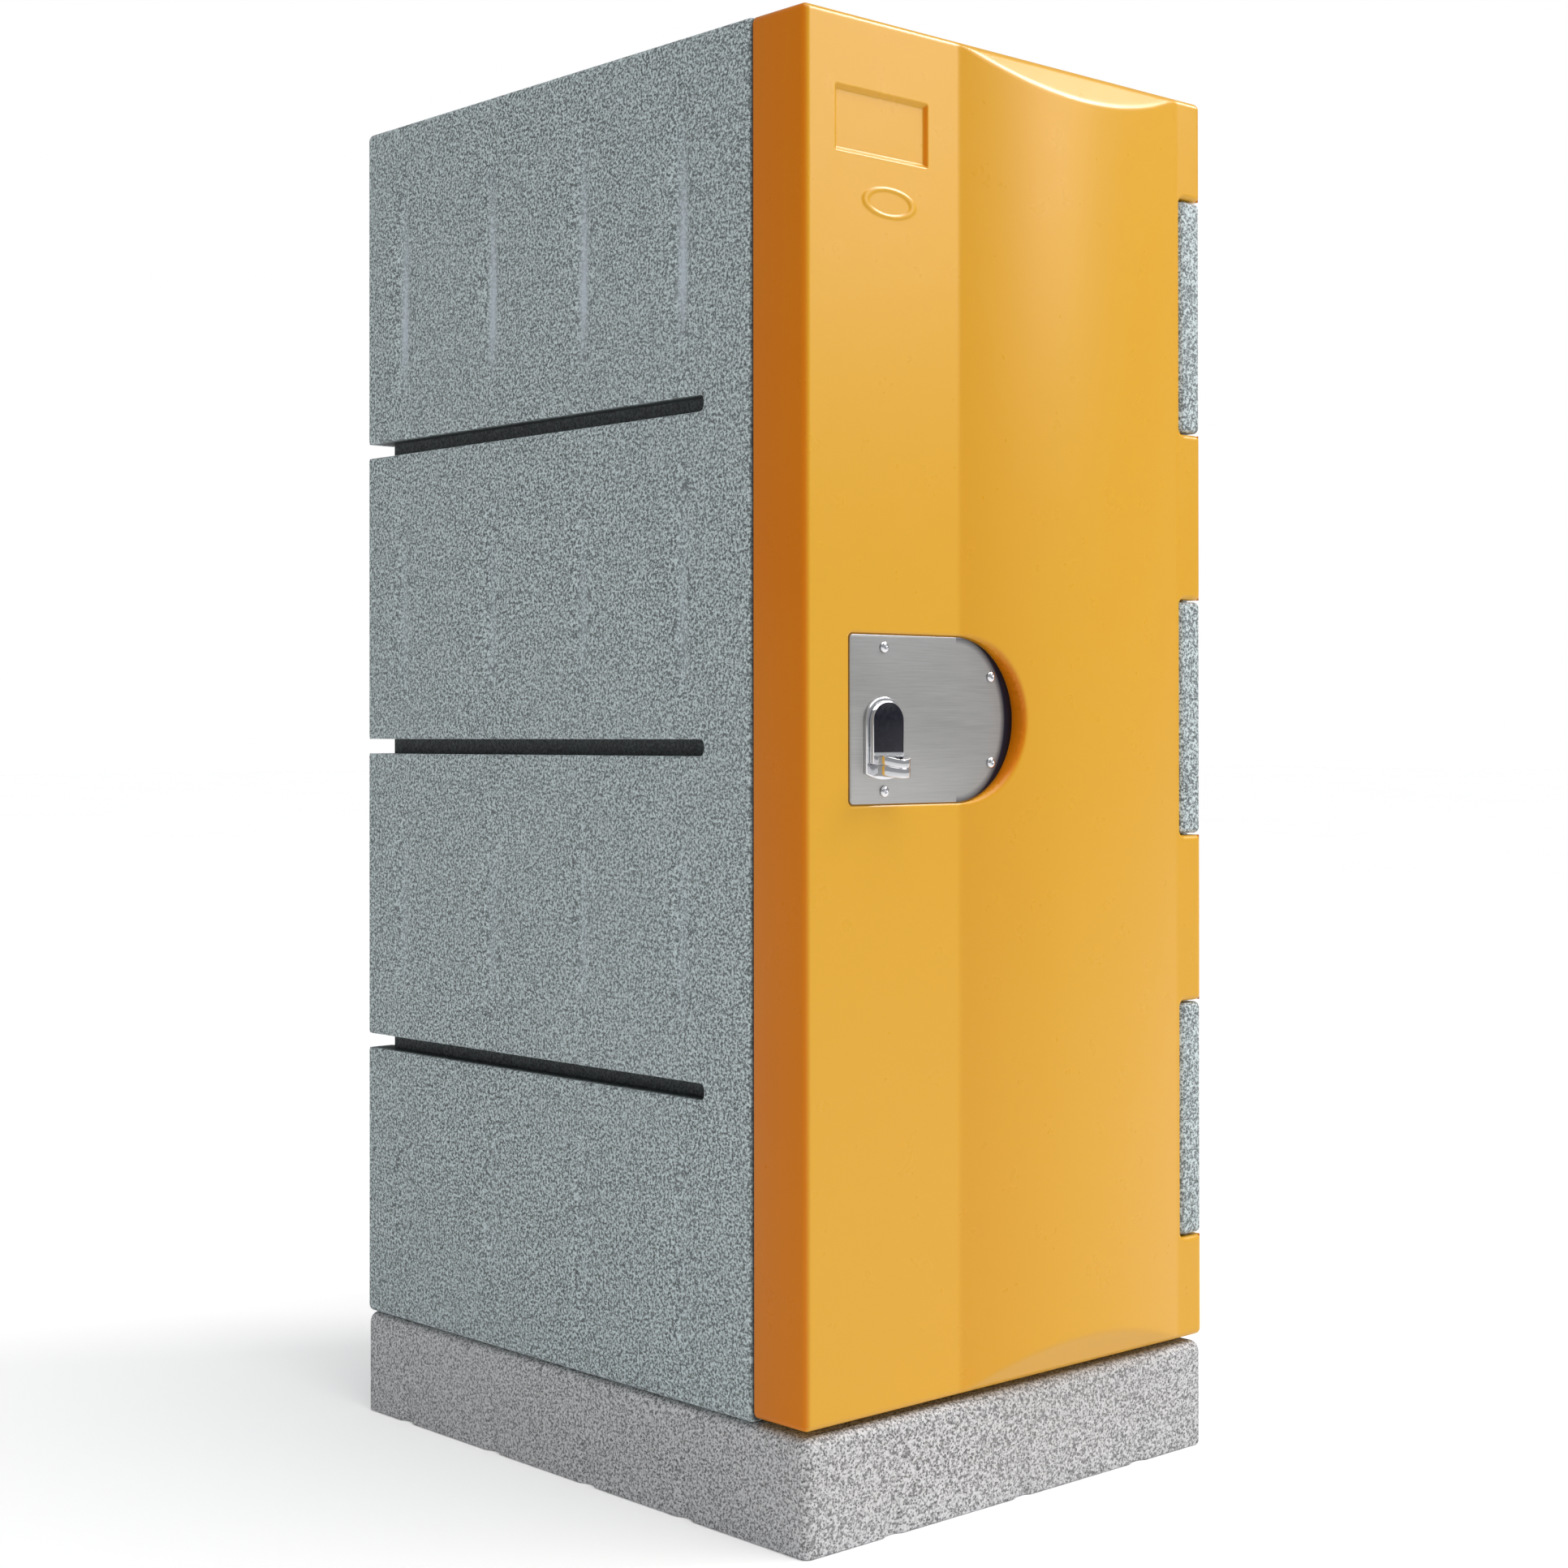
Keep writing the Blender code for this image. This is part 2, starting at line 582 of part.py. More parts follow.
def spindle_and_cam():
    start = lever_front() + LEVER_THICK + GAP
    shoulder = CAM_FRONT - GAP
    end = CAM_FRONT + CAM_THICK + GAP + 4.5
    middle = (LATCH_X, (start + shoulder) / 2, LATCH_Z)
    spindle = cylinder("latch_spindle", middle, SPINDLE_RADIUS, shoulder - start, "Y", ZINC, sides=16)
    middle = (LATCH_X, (shoulder - 2 + end) / 2, LATCH_Z)
    join(spindle, cylinder("spindle_stub", middle, STUB_RADIUS, end - shoulder + 2, "Y", sides=12))
    cam_outline = arc(LATCH_X, LATCH_Z, CAM_HALF, -90, 90, 8) + [
        (LATCH_X - CAM_REACH, LATCH_Z + CAM_HALF),
        (LATCH_X - CAM_REACH, LATCH_Z - CAM_HALF),
    ]
    cam = prism("latch_cam", cam_outline, "front", CAM_FRONT, CAM_FRONT + CAM_THICK, ZINC)
    nut = cylinder("cam_nut", (LATCH_X, CAM_FRONT + CAM_THICK + GAP + 2, LATCH_Z), 5.8, 4, "Y", ZINC, sides=6)
    for piece in (cam, nut):
        cut(piece, cylinder("stub_hole", (LATCH_X, CAM_FRONT, LATCH_Z), STUB_RADIUS + 0.35, 40, "Y", sides=12))


def strike():
    """An angle plate screwed inside the left panel; its inner leg stands in front of the cam."""
    wall = -(HALF - WALL) + GAP
    low, high = LATCH_Z - 25, LATCH_Z + 25
    outline = [
        (wall, STRIKE_FRONT),
        (wall + STRIKE_REACH, STRIKE_FRONT),
        (wall + STRIKE_REACH, STRIKE_FRONT + STRIKE_THICK),
        (wall + STRIKE_THICK, STRIKE_FRONT + STRIKE_THICK),
        (wall + STRIKE_THICK, STRIKE_FRONT + 34),
        (wall, STRIKE_FRONT + 34),
    ]
    plate = prism("strike_plate", outline, "plan", low, high, STEEL)
    panel = bpy.data.objects["left_side_panel"]
    screw_y = STRIKE_FRONT + 22
    for number, z in enumerate((LATCH_Z - 14, LATCH_Z + 14), 1):
        cut(plate, cylinder("strike_hole", (wall, screw_y, z), 2.2, 10, "X", sides=8))
        cut(panel, cylinder("strike_pilot", (wall - 4, screw_y, z), 2.0, 16, "X", sides=8))
        head = cylinder(
            f"strike_screw_{number}", (wall + STRIKE_THICK + GAP + 1, screw_y, z), 3.8, 2, "X", ZINC, sides=12
        )
        shank = cylinder("strike_shank", (wall + STRIKE_THICK + GAP - 4.8, screw_y, z), 1.6, 10, "X", sides=8)
        join(head, shank)


def door():
    door_shell()
    door_inner_panel()
    cylinder("hinge_rod_cap", (HINGE_X, HINGE_Y, DOOR_TOP - 5.5), ROD_RADIUS, 10, colour=ORANGE, sides=16)
    lock_plate()
    latch_rosette()
    turn_lever()
    spindle_and_cam()
    strike()


def hinge_empty(name, place, pieces):
    """An empty on a joint's axis, which carries the pieces that turn about it."""
    empty = bpy.data.objects.new(name, None)
    empty.empty_display_size = 0.05
    empty.location = Vector(place) * MM
    PARTS.objects.link(empty)
    for piece in pieces:
        attach(piece, empty)
    return empty


DOOR_PIECES = ("door_", "hinge_rod_cap", "lock_plate", "plate_screw_", "latch_rosette", "latch_nut")
LATCH_PIECES = ("turn_lever", "lever_inlay", "latch_spindle", "latch_cam", "cam_nut")


def joints():
    """The door turns about the hinge rod, 0 to 110 degrees, and the hasp about its spindle, 0 to 90."""
    def named(starts):
        return [o for o in PARTS.objects if o.name.startswith(starts)]

    latch = hinge_empty("latch_turn", (LATCH_X, FRONT, LATCH_Z), named(LATCH_PIECES))
    hinge_empty("door_hinge", (HINGE_X, HINGE_Y, (DOOR_BOTTOM + DOOR_TOP) / 2), named(DOOR_PIECES) + [latch])


body()
door()
joints()
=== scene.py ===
"""Looks for the plastic locker: finely rounded mouldings, lock plate and hasp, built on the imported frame.

Shapes are given in millimetres and made in metres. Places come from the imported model's boxes; the grooves,
knuckles, crown and padlock tabs repeat the design's own measures.
"""

import math

import bmesh
import bpy
from mathutils import Matrix, Vector


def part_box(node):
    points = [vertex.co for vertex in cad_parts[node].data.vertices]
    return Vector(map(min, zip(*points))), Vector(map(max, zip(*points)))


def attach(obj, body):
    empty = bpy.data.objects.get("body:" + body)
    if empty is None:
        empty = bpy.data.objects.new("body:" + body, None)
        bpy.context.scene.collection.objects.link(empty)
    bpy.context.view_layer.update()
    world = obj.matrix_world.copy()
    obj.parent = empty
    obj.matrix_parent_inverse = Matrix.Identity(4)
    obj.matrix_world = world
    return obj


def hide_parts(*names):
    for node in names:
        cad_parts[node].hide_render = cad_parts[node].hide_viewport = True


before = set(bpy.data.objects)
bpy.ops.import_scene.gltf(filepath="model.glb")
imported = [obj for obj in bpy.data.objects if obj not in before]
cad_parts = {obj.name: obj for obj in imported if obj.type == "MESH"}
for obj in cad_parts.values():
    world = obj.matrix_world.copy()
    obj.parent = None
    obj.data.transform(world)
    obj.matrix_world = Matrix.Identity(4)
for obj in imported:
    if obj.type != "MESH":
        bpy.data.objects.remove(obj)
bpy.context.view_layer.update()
MM = 0.001


def edges(node):
    """A CAD node's box, as (low, high) in millimetres."""
    low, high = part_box(node)
    return low / MM, high / MM


# ---- Measures taken from the frame ----

PLINTH_LOW, PLINTH_HIGH = edges("plinth")
LEFT_LOW, LEFT_HIGH = edges("left_side_panel")
SHELL_LOW, SHELL_HIGH = edges("door_shell")
PLATE_LOW, PLATE_HIGH = edges("lock_plate")
ROD_LOW, ROD_HIGH = edges("hinge_rod")
LEVER_LOW, LEVER_HIGH = edges("turn_lever")
FLANGE_LOW, FLANGE_HIGH = edges("latch_rosette")
INLAY_LOW, INLAY_HIGH = edges("lever_inlay")

HALF = PLINTH_HIGH.x
FRONT, REAR = PLINTH_LOW.y, PLINTH_HIGH.y
BODY_FRONT, BODY_LOW, BODY_HIGH = LEFT_LOW.y, LEFT_LOW.z, LEFT_HIGH.z
WALL = LEFT_HIGH.x - LEFT_LOW.x
DOOR_LOW, DOOR_HIGH, DOOR_BACK = SHELL_LOW.z, SHELL_HIGH.z, SHELL_HIGH.y
HINGE_X = (ROD_LOW.x + ROD_HIGH.x) / 2
DOOR_EDGE = HINGE_X - 14.7  # where the notches for the body's knuckles start
KNUCKLE_PITCH, KNUCKLE_HALF, KNUCKLE_GAP = 287.9, 83.1, 1.5
KNUCKLES = [(DOOR_LOW + DOOR_HIGH) / 2 + 0.6 + KNUCKLE_PITCH * i for i in (-1, 0, 1)]
GROOVES = [BODY_LOW + z for z in (204.9, 428.0, 651.7)]
GROOVE_HALF, GROOVE_DEPTH, GROOVE_START = 5.5, 15.0, FRONT + 100.0
FLUTES = [FRONT + t for t in (122.0, 230.0, 338.0, 452.0)]  # upright sinks in the side walls
FLUTE_DEPTH, TOP_FLUTE_DEPTH = 1.6, 2.6
CROWN_LEFT, CROWN_SPAN, CROWN_RISE = -HALF + 134.5, 220.0, 12.6
PLATE_Z, PLATE_R = (PLATE_LOW.z + PLATE_HIGH.z) / 2, (PLATE_HIGH.z - PLATE_LOW.z) / 2
PLATE_ARC_X = PLATE_HIGH.x - PLATE_R
RECESS_FLOOR, RECESS_GAP = 2.2, 1.0
ROLL = 0.83  # share of the plate's half-round end that is flat before its rim rolls back
LATCH_X, LATCH_Z = (FLANGE_LOW.x + FLANGE_HIGH.x) / 2, FLANGE_HIGH.z - (FLANGE_HIGH.x - FLANGE_LOW.x) / 2
TAB_HALF, TAB_TOP, TAB_SPLIT, TAB_FOOT = 11.0, 23.5, 29.0, 35.4  # padlock tabs, from the latch axis
PADLOCK_HOLE, PADLOCK_Y = 4.0, FRONT - 10.5


# ---- Mesh helpers ----


def lines(start, stop, coarse, *fine):
    """Grid lines from start to stop, coarse apart, and closer inside each fine (low, high, step)."""
    marks = {start, stop} | {m for low, high, _ in fine for m in (low, high) if start < m < stop}
    marks = sorted(marks)
    found = [start]
    for a, b in zip(marks, marks[1:]):
        if b - a < 1e-6:
            continue
        step = min([s for low, high, s in fine if low <= (a + b) / 2 <= high] + [coarse])
        count = max(1, math.ceil((b - a) / step - 1e-6))
        found += [a + (b - a) * (i + 1) / count for i in range(count)]
    return found


def near(centre, reach, step):
    return (centre - reach, centre + reach, step)


def quarter(steps, first=0):
    """Angles from 0 to a quarter turn, in that many steps."""
    return [math.pi / 2 * i / steps for i in range(first, steps + 1)]


def rectangle(low_u, low_v, high_u, high_v):
    return [(low_u, low_v), (high_u, low_v), (high_u, high_v), (low_u, high_v)]


def to_object(name, data, place=None):
    """An object from a bmesh in millimetres, moved by place and scaled to metres."""
    bmesh.ops.remove_doubles(data, verts=data.verts, dist=1e-4)
    bmesh.ops.recalc_face_normals(data, faces=data.faces)
    matrix = Matrix.Scale(MM, 4) @ (place or Matrix.Identity(4))
    bmesh.ops.transform(data, matrix=matrix, verts=data.verts)
    if matrix.determinant() < 0:
        bmesh.ops.reverse_faces(data, faces=data.faces)
    mesh = bpy.data.meshes.new(name)
    data.to_mesh(mesh)
    data.free()
    obj = bpy.data.objects.new(name, mesh)
    bpy.context.scene.collection.objects.link(obj)
    return obj


def slab(name, us, vs, depth, radius, rise, place, back_radius=1.0):
    """A thick slab with a gridded face at w=0 and its back at w=depth, edges rounded, and the face
    moved outwards by rise(u, v). place turns (u, v, w) into the row frame, in millimetres."""
    data = bmesh.new()
    low_u, high_u, low_v, high_v = us[0], us[-1], vs[0], vs[-1]

    def rounded(u, v, w):
        """The point of a sharp-edged slab, drawn in to rounded edges."""
        cu = min(max(u, low_u + radius), high_u - radius)
        cv = min(max(v, low_v + radius), high_v - radius)
        cw = max(w, radius)
        away = Vector((u - cu, v - cv, w - cw))
        if away.length < 1e-9:
            return Vector((u, v, w))
        return Vector((cu, cv, cw)) + away.normalized() * radius

    grid = []
    for v in vs:
        row = []
        for u in us:
            p = rounded(u, v, 0.0)
            row.append(data.verts.new((p.x, p.y, p.z - rise(u, v))))
        grid.append(row)
    for lower, upper in zip(grid, grid[1:]):
        for a, b, c, d in zip(lower, lower[1:], upper[1:], upper):
            data.faces.new((a, b, c, d))
    rim = [(u, low_v) for u in us] + [(high_u, v) for v in vs[1:]]
    rim += [(u, high_v) for u in us[-2::-1]] + [(low_u, v) for v in vs[-2:0:-1]]
    loop = grid[0] + [row[-1] for row in grid[1:]] + grid[-1][-2::-1] + [row[0] for row in grid[-2:0:-1]]
    mid_u, mid_v = (low_u + high_u) / 2, (low_v + high_v) / 2
    steps = [(w, 0.0) for w in [radius * i / 5 for i in range(1, 6)] + [depth - back_radius]]
    steps += [
        (depth - back_radius * (1 - math.sin(t)), back_radius * (1 - math.cos(t)))
        for t in (math.pi / 4, math.pi / 2)
    ]
    for w, inset in steps:
        ring = []
        for u, v in rim:
            p = rounded(u, v, w)
            p.x += inset * (1 if p.x < mid_u else -1) * (abs(p.x - mid_u) > mid_u - low_u - radius)
            p.y += inset * (1 if p.y < mid_v else -1) * (abs(p.y - mid_v) > mid_v - low_v - radius)
            ring.append(data.verts.new(p))
        for i in range(len(ring)):
            j = (i + 1) % len(ring)
            data.faces.new((loop[i], loop[j], ring[j], ring[i]))
        loop = ring
    data.faces.new(loop)
    return to_object(name, data, place)


FRONT_FACE = Matrix(((1, 0, 0, 0), (0, 0, 1, 0), (0, 1, 0, 0), (0, 0, 0, 1)))  # u = X, v = Z, w = +Y


def side_face(side):
    """u = Y, v = Z and w inwards from a side's outer face."""
    return Matrix(((0, 0, -side, side * HALF), (1, 0, 0, 0), (0, 1, 0, 0), (0, 0, 0, 1)))


def loft(name, rings, place=None, caps=True):
    """A surface through rings that have the same number of points."""
    data = bmesh.new()
    made = [[data.verts.new(p) for p in ring] for ring in rings]
    count = len(made[0])
    for lower, upper in zip(made, made[1:]):
        for i in range(count):
            j = (i + 1) % count
            data.faces.new((lower[i], lower[j], upper[j], upper[i]))
    if caps:
        data.faces.new(made[0])
        data.faces.new(made[-1])
    return to_object(name, data, place)


def offset_ring(outline, inset):
    """A closed convex outline of (u, v) points, drawn in by inset along each corner's bisector."""
    points = [Vector(p) for p in outline]
    count = len(points)
    area = sum(here.x * after.y - after.x * here.y for here, after in zip(points, points[1:] + points[:1]))
    turn = 1 if area > 0 else -1
    found = []
    for i in range(count):
        before, here, after = points[i - 1], points[i], points[(i + 1) % count]
        a, b = (here - before).normalized(), (after - here).normalized()
        na, nb = Vector((-a.y, a.x)) * turn, Vector((-b.y, b.x)) * turn
        middle = (na + nb).normalized()
        found.append(here + middle * inset / max(middle.dot(na), 0.3))
    return found


def plate(name, outline, low, high, bevel, face, steps=4):
    """A flat plate of that outline from low to high along w, with its edge rounded at the low side."""
    heights = [(low + bevel * (1 - math.sin(t)), bevel * (1 - math.cos(t))) for t in reversed(quarter(steps))]
    heights.append((high, 0.0))
    rings = [[(p.x, p.y, w) for p in offset_ring(outline, inset)] for w, inset in heights]
    return loft(name, rings, face)


def arc(cx, cy, radius, start, end, steps):
    turns = [math.radians(start + (end - start) * i / steps) for i in range(steps + 1)]
    return [(cx + radius * math.cos(t), cy + radius * math.sin(t)) for t in turns]


def prism(name, outline, low, high, face):
    rings = [[(u, v, w) for u, v in outline] for w in (low, high)]
    return loft(name, rings, face)


def boolean(target, tools, operation="DIFFERENCE"):
    """Applies each Boolean and removes its tool."""
    for tool in tools:
        step = target.modifiers.new("step", "BOOLEAN")
        step.operation, step.object, step.solver = operation, tool, "EXACT"
    bpy.context.view_layer.update()
    made = bpy.data.meshes.new_from_object(target.evaluated_get(bpy.context.evaluated_depsgraph_get()))
    target.modifiers.clear()
    target.data = made
    for tool in tools:
        bpy.data.objects.remove(tool)
    return target


def smooth(obj, angle=32.0):
    obj.data.shade_smooth()
    obj.data.set_sharp_from_angle(angle=math.radians(angle))
    return obj


def blend_in(t):
    t = min(max(t, 0.0), 1.0)
    return t * t * (3 - 2 * t)


def fillet(distance, radius):
    """How far a rim drops at a distance outside its edge."""
    if distance >= radius:
        return 0.0
    return radius - math.sqrt(radius**2 - (radius - max(distance, 0.0)) ** 2)


def box_distance(u, v, low_u, low_v, high_u, high_v, corner):
    """Signed distance to a rectangle with rounded corners, negative inside."""
    du = abs(u - (low_u + high_u) / 2) - (high_u - low_u) / 2 + corner
    dv = abs(v - (low_v + high_v) / 2) - (high_v - low_v) / 2 + corner
    return math.hypot(max(du, 0), max(dv, 0)) + min(max(du, dv), 0) - corner


# ---- Node helpers ----


class Nodes:
    """A material's node tree, with short calls for the few nodes used here."""

    def __init__(self, name):
        self.material = bpy.data.materials.new(name)
        self.material.use_nodes = True
        self.tree = self.material.node_tree
        self.shader = self.tree.nodes["Principled BSDF"]
        self.coords = self.add("ShaderNodeTexCoord")

    def add(self, kind, inputs=None, **settings):
        node = self.tree.nodes.new(kind)
        for key, value in settings.items():
            setattr(node, key, value)
        for key, value in (inputs or {}).items():
            self.put(node.inputs[key], value)
        return node

    def put(self, socket, value):
        if isinstance(value, bpy.types.NodeSocket):
            self.tree.links.new(value, socket)
        else:
            socket.default_value = value

    def math(self, operation, a, b=0.0, c=0.0, clamp=False):
        node = self.add("ShaderNodeMath", {0: a, 1: b, 2: c}, operation=operation)
        node.use_clamp = clamp
        return node.outputs[0]

    def spread(self, value, low, high, to_low=0.0, to_high=1.0):
        names = {"Value": value, "From Min": low, "From Max": high, "To Min": to_low, "To Max": to_high}
        return self.add("ShaderNodeMapRange", names).outputs[0]

    def noise(self, scale, detail=2.0, roughness=0.5, stretch=(1, 1, 1), vector=None):
        vector = vector or self.coords.outputs["Object"]
        moved = self.add("ShaderNodeMapping", {"Vector": vector, "Scale": stretch})
        made = self.add(
            "ShaderNodeTexNoise",
            {"Vector": moved.outputs[0], "Scale": scale, "Detail": detail, "Roughness": roughness},
        )
        return made.outputs[0]

    def mix(self, factor, a, b, blend="MIX"):
        node = self.add("ShaderNodeMix", data_type="RGBA", blend_type=blend)
        for socket, value in ((node.inputs[0], factor), (node.inputs[6], a), (node.inputs[7], b)):
            if isinstance(value, tuple) and len(value) == 3:
                value = (*value, 1.0)
            self.put(socket, value)
        return node.outputs[2]

    def bump(self, height, strength, distance):
        made = self.add("ShaderNodeBump", {"Height": height, "Strength": strength, "Distance": distance})
        self.put(self.shader.inputs["Normal"], made.outputs[0])

    def set(self, **values):
        for key, value in values.items():
            if isinstance(value, tuple) and len(value) == 3:
                value = (*value, 1.0)
            self.put(self.shader.inputs[key.replace("_", " ")], value)
        return self.material


def orange_plastic():
    """Glossy moulded plastic; faces turned to the left get a deeper, redder orange as painted shade, and less
    shine.
    """
    n = Nodes("orange_plastic")
    split = n.add("ShaderNodeSeparateXYZ", {0: n.coords.outputs["Normal"]})
    facing = n.math("MULTIPLY", split.outputs[0], -1.0)
    # Painted shade: as a face turns to the left, its orange deepens towards a dark red orange.
    colour = n.mix(n.spread(facing, 0.02, 0.25), (0.745, 0.385, 0.018), (0.73, 0.345, 0.012))
    colour = n.mix(n.spread(facing, 0.25, 0.75), colour, (0.72, 0.195, 0.003))
    cloud = n.noise(7.0, 2.0, 0.5)
    colour = n.mix(n.spread(cloud, 0.3, 0.7, 0.0, 0.08), colour, (0.78, 0.42, 0.03))
    # The door's back edge is in shade, where it meets the body.
    depth = n.add("ShaderNodeSeparateXYZ", {0: n.coords.outputs["Object"]}).outputs[1]
    shade = n.spread(depth, (BODY_FRONT - 2.6) * MM, (BODY_FRONT - 1.2) * MM, 0.0, 0.8)
    colour = n.mix(shade, colour, (0.10, 0.03, 0.004))
    wear = n.noise(45.0, 3.0, 0.6)
    n.set(Base_Color=colour, IOR=1.47, Roughness=n.spread(wear, 0.3, 0.7, 0.27, 0.31))
    n.set(Specular_IOR_Level=n.spread(facing, 0.2, 0.9, 0.5, 0.15))
    n.bump(n.noise(600.0, 2.0, 0.5), 0.05, 0.0003)
    return n.material


def speckled_plastic(name, base, low, high, grit):
    """Grey plastic made of dark and light granules about a millimetre across, with painted shade in the grooves
    and at the seam behind the door, and a painted highlight down each upright sink.
    """
    n = Nodes(name)
    place = n.add("ShaderNodeSeparateXYZ", {0: n.coords.outputs["Object"]}).outputs
    moved = n.add("ShaderNodeVectorMath", {0: n.coords.outputs["Object"], 1: (3.17, 7.71, 1.33)}).outputs[0]
    grain = n.noise(560.0, 2.0, 0.6)
    fleck = n.noise(470.0, 1.0, 0.5, vector=moved)
    tone = n.spread(grain, 0.5 - grit, 0.5 + grit)
    ramp = n.add("ShaderNodeValToRGB", {0: tone})
    stops = ramp.color_ramp.elements
    stops[0].position, stops[0].color = 0.0, (*(c * low for c in base), 1)
    stops[1].position, stops[1].color = 1.0, (*(min(c * high, 1) for c in base), 1)
    middle = stops.new(0.5)
    middle.color = (*base, 1)
    dark = n.mix(n.spread(fleck, 0.56, 0.62, 0.0, 0.85), ramp.outputs[0], tuple(c * low * 0.5 for c in base))
    colour = n.mix(n.spread(fleck, 0.41, 0.35, 0.0, 0.7), dark, tuple(min(c * high, 1) for c in base))
    dots = n.add("ShaderNodeTexVoronoi", {"Vector": moved, "Scale": 480.0}).outputs["Distance"]
    colour = n.mix(n.spread(dots, 0.24, 0.38, 0.85, 0.0), colour, tuple(c * 0.10 for c in base))
    cloud = n.noise(4.0, 3.0, 0.55)
    colour = n.mix(n.spread(cloud, 0.3, 0.7, 0.0, 0.2), colour, tuple(c * 0.85 for c in base))
    wide = n.math("ABSOLUTE", place[0])
    # Painted highlight: a pale streak down each upright sink, strongest in the top section.
    flute_highlight, height = 0.0, 0.0
    outer = n.math("GREATER_THAN", wide, (HALF - 8) * MM)
    for centre in FLUTES:
        away = n.math("ABSOLUTE", n.math("SUBTRACT", place[1], centre * MM))
        flute_highlight = n.math("MAXIMUM", flute_highlight, n.spread(away, 7.0 * MM, 1.0 * MM))
    for low_z, high_z, share in zip([BODY_LOW] + GROOVES, GROOVES + [BODY_HIGH], (0.12, 0.3, 0.35, 0.85)):
        rise = n.spread(place[2], (low_z + 34) * MM, (low_z + 80) * MM)
        fall = n.spread(place[2], (high_z - 40) * MM, (high_z - 150) * MM)
        height = n.math("MAXIMUM", height, n.math("MULTIPLY", n.math("MULTIPLY", rise, fall), share))
    flute_highlight = n.math("MULTIPLY", flute_highlight, outer)
    colour = n.mix(n.math("MULTIPLY", flute_highlight, height), colour, (0.56, 0.63, 0.69))
    # Groove floors and the seam behind the door are in shade.
    sunk = n.math("MINIMUM", n.math("SUBTRACT", HALF * MM, wide), n.math("SUBTRACT", REAR * MM, place[1]))
    floor = n.math("LESS_THAN", sunk, (GROOVE_DEPTH + 2) * MM)
    deep = n.math("MULTIPLY", n.spread(sunk, 2 * MM, 8 * MM), floor)
    level = 0.0
    for z in GROOVES:
        level = n.math("MAXIMUM", level, n.math("COMPARE", place[2], z * MM, (GROOVE_HALF + 0.3) * MM))
    behind = n.math("GREATER_THAN", place[1], (GROOVE_START - 1) * MM)
    deep = n.math("MULTIPLY", n.math("MULTIPLY", deep, level), behind)
    seam = n.spread(n.math("ABSOLUTE", n.math("SUBTRACT", place[1], BODY_FRONT * MM)), 2.4 * MM, 0.9 * MM)
    seam = n.math("MULTIPLY", seam, n.spread(wide, (HALF - 6) * MM, (HALF - 4) * MM))
    seam = n.math("MULTIPLY", seam, n.math("GREATER_THAN", place[2], BODY_LOW * MM))
    shade = n.math("MAXIMUM", n.math("MULTIPLY", deep, 0.85), n.math("MULTIPLY", seam, 0.9))
    colour = n.mix(shade, colour, tuple(c * 0.06 for c in base))
    n.set(Base_Color=colour, Roughness=n.spread(grain, 0.3, 0.7, 0.50, 0.72), Specular_IOR_Level=0.3)
    n.bump(grain, 0.35, 0.0005)
    return n.material


def brushed_steel():
    """Stainless sheet with fine brushing along X, with a painted dark reflection along the lock plate's rolled
    rim.
    """
    n = Nodes("brushed_steel")
    place = n.add("ShaderNodeSeparateXYZ", {0: n.coords.outputs["Object"]}).outputs
    fine = n.noise(1.0, 3.0, 0.6, stretch=(38.0, 900.0, 1900.0))
    broad = n.noise(1.0, 2.0, 0.5, stretch=(9.0, 200.0, 260.0))
    colour = n.mix(n.spread(fine, 0.3, 0.7), (0.42, 0.42, 0.41), (0.52, 0.52, 0.51))
    colour = n.mix(n.spread(broad, 0.3, 0.7, 0.0, 0.35), colour, (0.44, 0.44, 0.43))
    # Painted dark reflection: near black on the rolled rim of the plate's half-round end.
    flat_end = (PLATE_ARC_X + ROLL * PLATE_R) * MM
    beyond = n.add("ShaderNodeMapRange", {0: place[0], 1: PLATE_ARC_X * MM, 2: flat_end}, clamp=False)
    up = n.math("MULTIPLY", n.math("SUBTRACT", place[2], PLATE_Z * MM), 1 / (PLATE_R * MM))
    reach = n.math("ADD", n.math("MULTIPLY", beyond.outputs[0], beyond.outputs[0]), n.math("MULTIPLY", up, up))
    right = n.math("GREATER_THAN", beyond.outputs[0], 0.0)
    rim = n.math("MULTIPLY", right, n.spread(reach, 0.84, 1.05))
    colour = n.mix(rim, colour, (0.030, 0.032, 0.055))
    n.set(Base_Color=colour, Metallic=1.0, Roughness=n.spread(fine, 0.25, 0.75, 0.40, 0.52), Anisotropic=0.5)
    n.bump(fine, 0.12, 0.0002)
    return n.material


def chrome():
    n = Nodes("chrome")
    smudge = n.noise(160.0, 3.0, 0.6)
    n.set(
        Base_Color=n.mix(n.spread(smudge, 0.35, 0.7), (0.80, 0.80, 0.82), (0.74, 0.75, 0.77)),
        Metallic=1.0,
        Roughness=n.spread(smudge, 0.3, 0.7, 0.06, 0.14),
    )
    n.bump(n.noise(240.0, 2.0, 0.5), 0.05, 0.0003)
    return n.material


def zinc():
    n = Nodes("zinc_plated_steel")
    patch = n.noise(220.0, 3.0, 0.6)
    n.set(
        Base_Color=n.mix(n.spread(patch, 0.35, 0.65), (0.52, 0.52, 0.50), (0.64, 0.63, 0.58)),
        Metallic=1.0,
        Roughness=n.spread(patch, 0.3, 0.7, 0.28, 0.42),
    )
    n.bump(patch, 0.08, 0.0003)
    return n.material


def black_plastic():
    n = Nodes("black_plastic")
    scuff = n.noise(300.0, 4.0, 0.6)
    n.set(
        Base_Color=n.mix(n.spread(scuff, 0.35, 0.7), (0.004, 0.004, 0.010), (0.010, 0.010, 0.020)),
        Roughness=n.spread(scuff, 0.3, 0.7, 0.16, 0.28),
        Specular_IOR_Level=0.3,
    )
    n.bump(scuff, 0.05, 0.0003)
    return n.material


